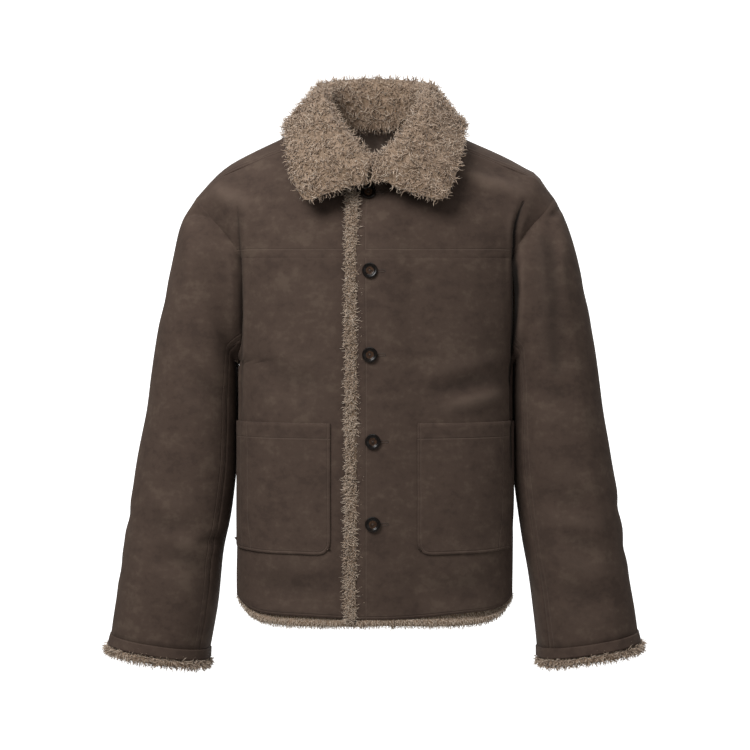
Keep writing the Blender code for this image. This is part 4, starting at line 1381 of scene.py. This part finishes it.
def buttonhole(number, x, z):
    """A worked edge of thread that lies on the cloth."""
    form = bmesh.new()
    out = Vector((SLIT_HALF, 0, 0))
    made = bmesh.ops.create_circle(form, segments=6, radius=SLIT_EDGE, matrix=Matrix.Translation(out))["verts"]
    bmesh.ops.rotate(form, verts=made, cent=out, matrix=Matrix.Rotation(math.pi / 2, 3, "X"))
    bmesh.ops.spin(
        form, geom=[*made, *form.edges], axis=(0, 0, 1), cent=(0, 0, 0), steps=20, angle=2 * math.pi, use_merge=True
    )
    bmesh.ops.remove_doubles(form, verts=form.verts, dist=0.01 * MM)
    for vert in form.verts:
        vert.co.x += math.copysign(SLIT_LONG / 2 - 2 * MM, vert.co.x)
    long_edges = [edge for edge in form.edges if edge.calc_length() > 5 * MM]
    bmesh.ops.subdivide_edges(form, edges=long_edges, cuts=10)
    bmesh.ops.recalc_face_normals(form, faces=form.faces)
    where = Vector((x * MM + SLIT_PAST, -1, z * MM))
    hit, normal, _, _ = cloth_bvh.ray_cast(where, Vector((0, 1, 0)))
    form.transform(turned_to(hit + normal * 0.1 * MM, normal))
    for vert in form.verts:
        near = cloth_bvh.find_nearest(vert.co)[0]
        vert.co += normal * (near - hit).dot(normal)
    return new_object(f"buttonhole_{number}", form, sewing_thread)


for number, (x, z) in enumerate(BUTTONS, 1):
    made = buttonhole(number, x, z)
    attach(made, "root")

# %% Sheets
COLLAR_CUT = (0.58, 0.14)  # along its neck edge, and from there over the roll to the leaf's edge
ACROSS = ("hem", "yoke", "cuff", "shoulder", "top", "bottom", "edge", "seam", "tuck")


def declare(made, width, length, area, held, rests_on):
    area = min(area, 0.999 * width * length)
    print(made.name, "cut", round(width / MM), "x", round(length / MM), "mm,", round(area * 1e4), "cm2")


for node, made in shells.items():
    edges, area = sizes[node]
    lengths = {name: length_of(line) for name, line in edges.items()}
    width = max(v for k, v in lengths.items() if k in ACROSS)
    tall = [v for k, v in lengths.items() if k not in ACROSS]
    length = max(max(tall, default=0), area / width * 1.02)
    declare(made, width, length, area, "hung", [])
declare(collar_cloth, *COLLAR_CUT, area_of(collar_cloth.data) / 2, "folded", [])
across, _, tall = map(float, np.ptp(points_of(facing.data), axis=0))
declare(facing, across * 1.05, tall * 1.1, area_of(facing.data), "laid", [])  # the shares are for its curve

# %% [markdown]
# ## Studio
# The photograph is lit by a large soft light from the upper left and in front, on white. A backlit screen
# behind the jacket gives the white, and the pale floor lies so low that the jacket is seen from below too.

# %% Stage, lights and camera
FLOOR = -3.4
FLOOR_HALF = 9
SCREEN_BEHIND = 3.6
SCREEN_HALF = 1.8
CAMERA_AWAY = 3.0
CAMERA_HEIGHT = -0.326
AIR_LIGHT = 0.24
SQUARE = ((-1, -1), (1, -1), (1, 1), (-1, 1))


def plain_sheet(name, corners, finish):
    form = bmesh.new()
    form.faces.new([form.verts.new(corner) for corner in corners])
    return new_object(name, form, finish)


paper, _, shader = new_material("pale_studio_floor", Roughness=0.95)
shader.inputs["Base Color"].default_value = linear("#F2F2F0")
backlit, _, shader = new_material("backlit_white_screen", Roughness=0.9, Emission_Strength=1.0)
shader.inputs["Emission Color"].default_value = linear("#FFFFFF")
ground = plain_sheet("studio_floor", [(x * FLOOR_HALF, y * FLOOR_HALF, FLOOR) for x, y in SQUARE], paper)
screen_corners = [(x * SCREEN_HALF, SCREEN_BEHIND, CAMERA_HEIGHT + z * SCREEN_HALF) for x, z in SQUARE]
screen = plain_sheet("studio_screen", screen_corners, backlit)


def softbox(name, place, aim, size, power):
    data = bpy.data.lights.new(name, "AREA")
    data.shape = "RECTANGLE"
    data.size, data.size_y = size
    data.energy = power
    made = in_scene(name, data)
    made.location = place
    made.rotation_euler = (Vector(aim) - Vector(place)).to_track_quat("-Z", "Y").to_euler()
    made.visible_camera = False


softbox("key_light", (-1.15, -2.0, 1.35), (0, 0, -0.3), (1.3, 1.3), 68)
softbox("fill_light", (2.2, -2.2, 0.2), (0, 0, -0.4), (2.0, 2.0), 7)
softbox("top_light", (0, -0.2, 2.2), (0, 0, -0.3), (2.2, 1.6), 22)
softbox("back_light", (0.8, 2.4, 1.6), (0, 0, -0.3), (2.0, 2.0), 30)
world = bpy.data.worlds.new("studio_air")
world.use_nodes = True
world.node_tree.nodes["Background"].inputs["Color"].default_value = (1, 1, 1, 1)
world.node_tree.nodes["Background"].inputs["Strength"].default_value = AIR_LIGHT
bpy.context.scene.world = world
bpy.context.scene.view_settings.view_transform = "Standard"

camera_data = bpy.data.cameras.new("camera")
camera_data.sensor_width = 36
camera_data.lens = 102.86
camera = in_scene("camera", camera_data)
camera.location = (0, -CAMERA_AWAY, CAMERA_HEIGHT)
camera.rotation_euler = (math.pi / 2, 0, 0)
bpy.context.scene.camera = camera
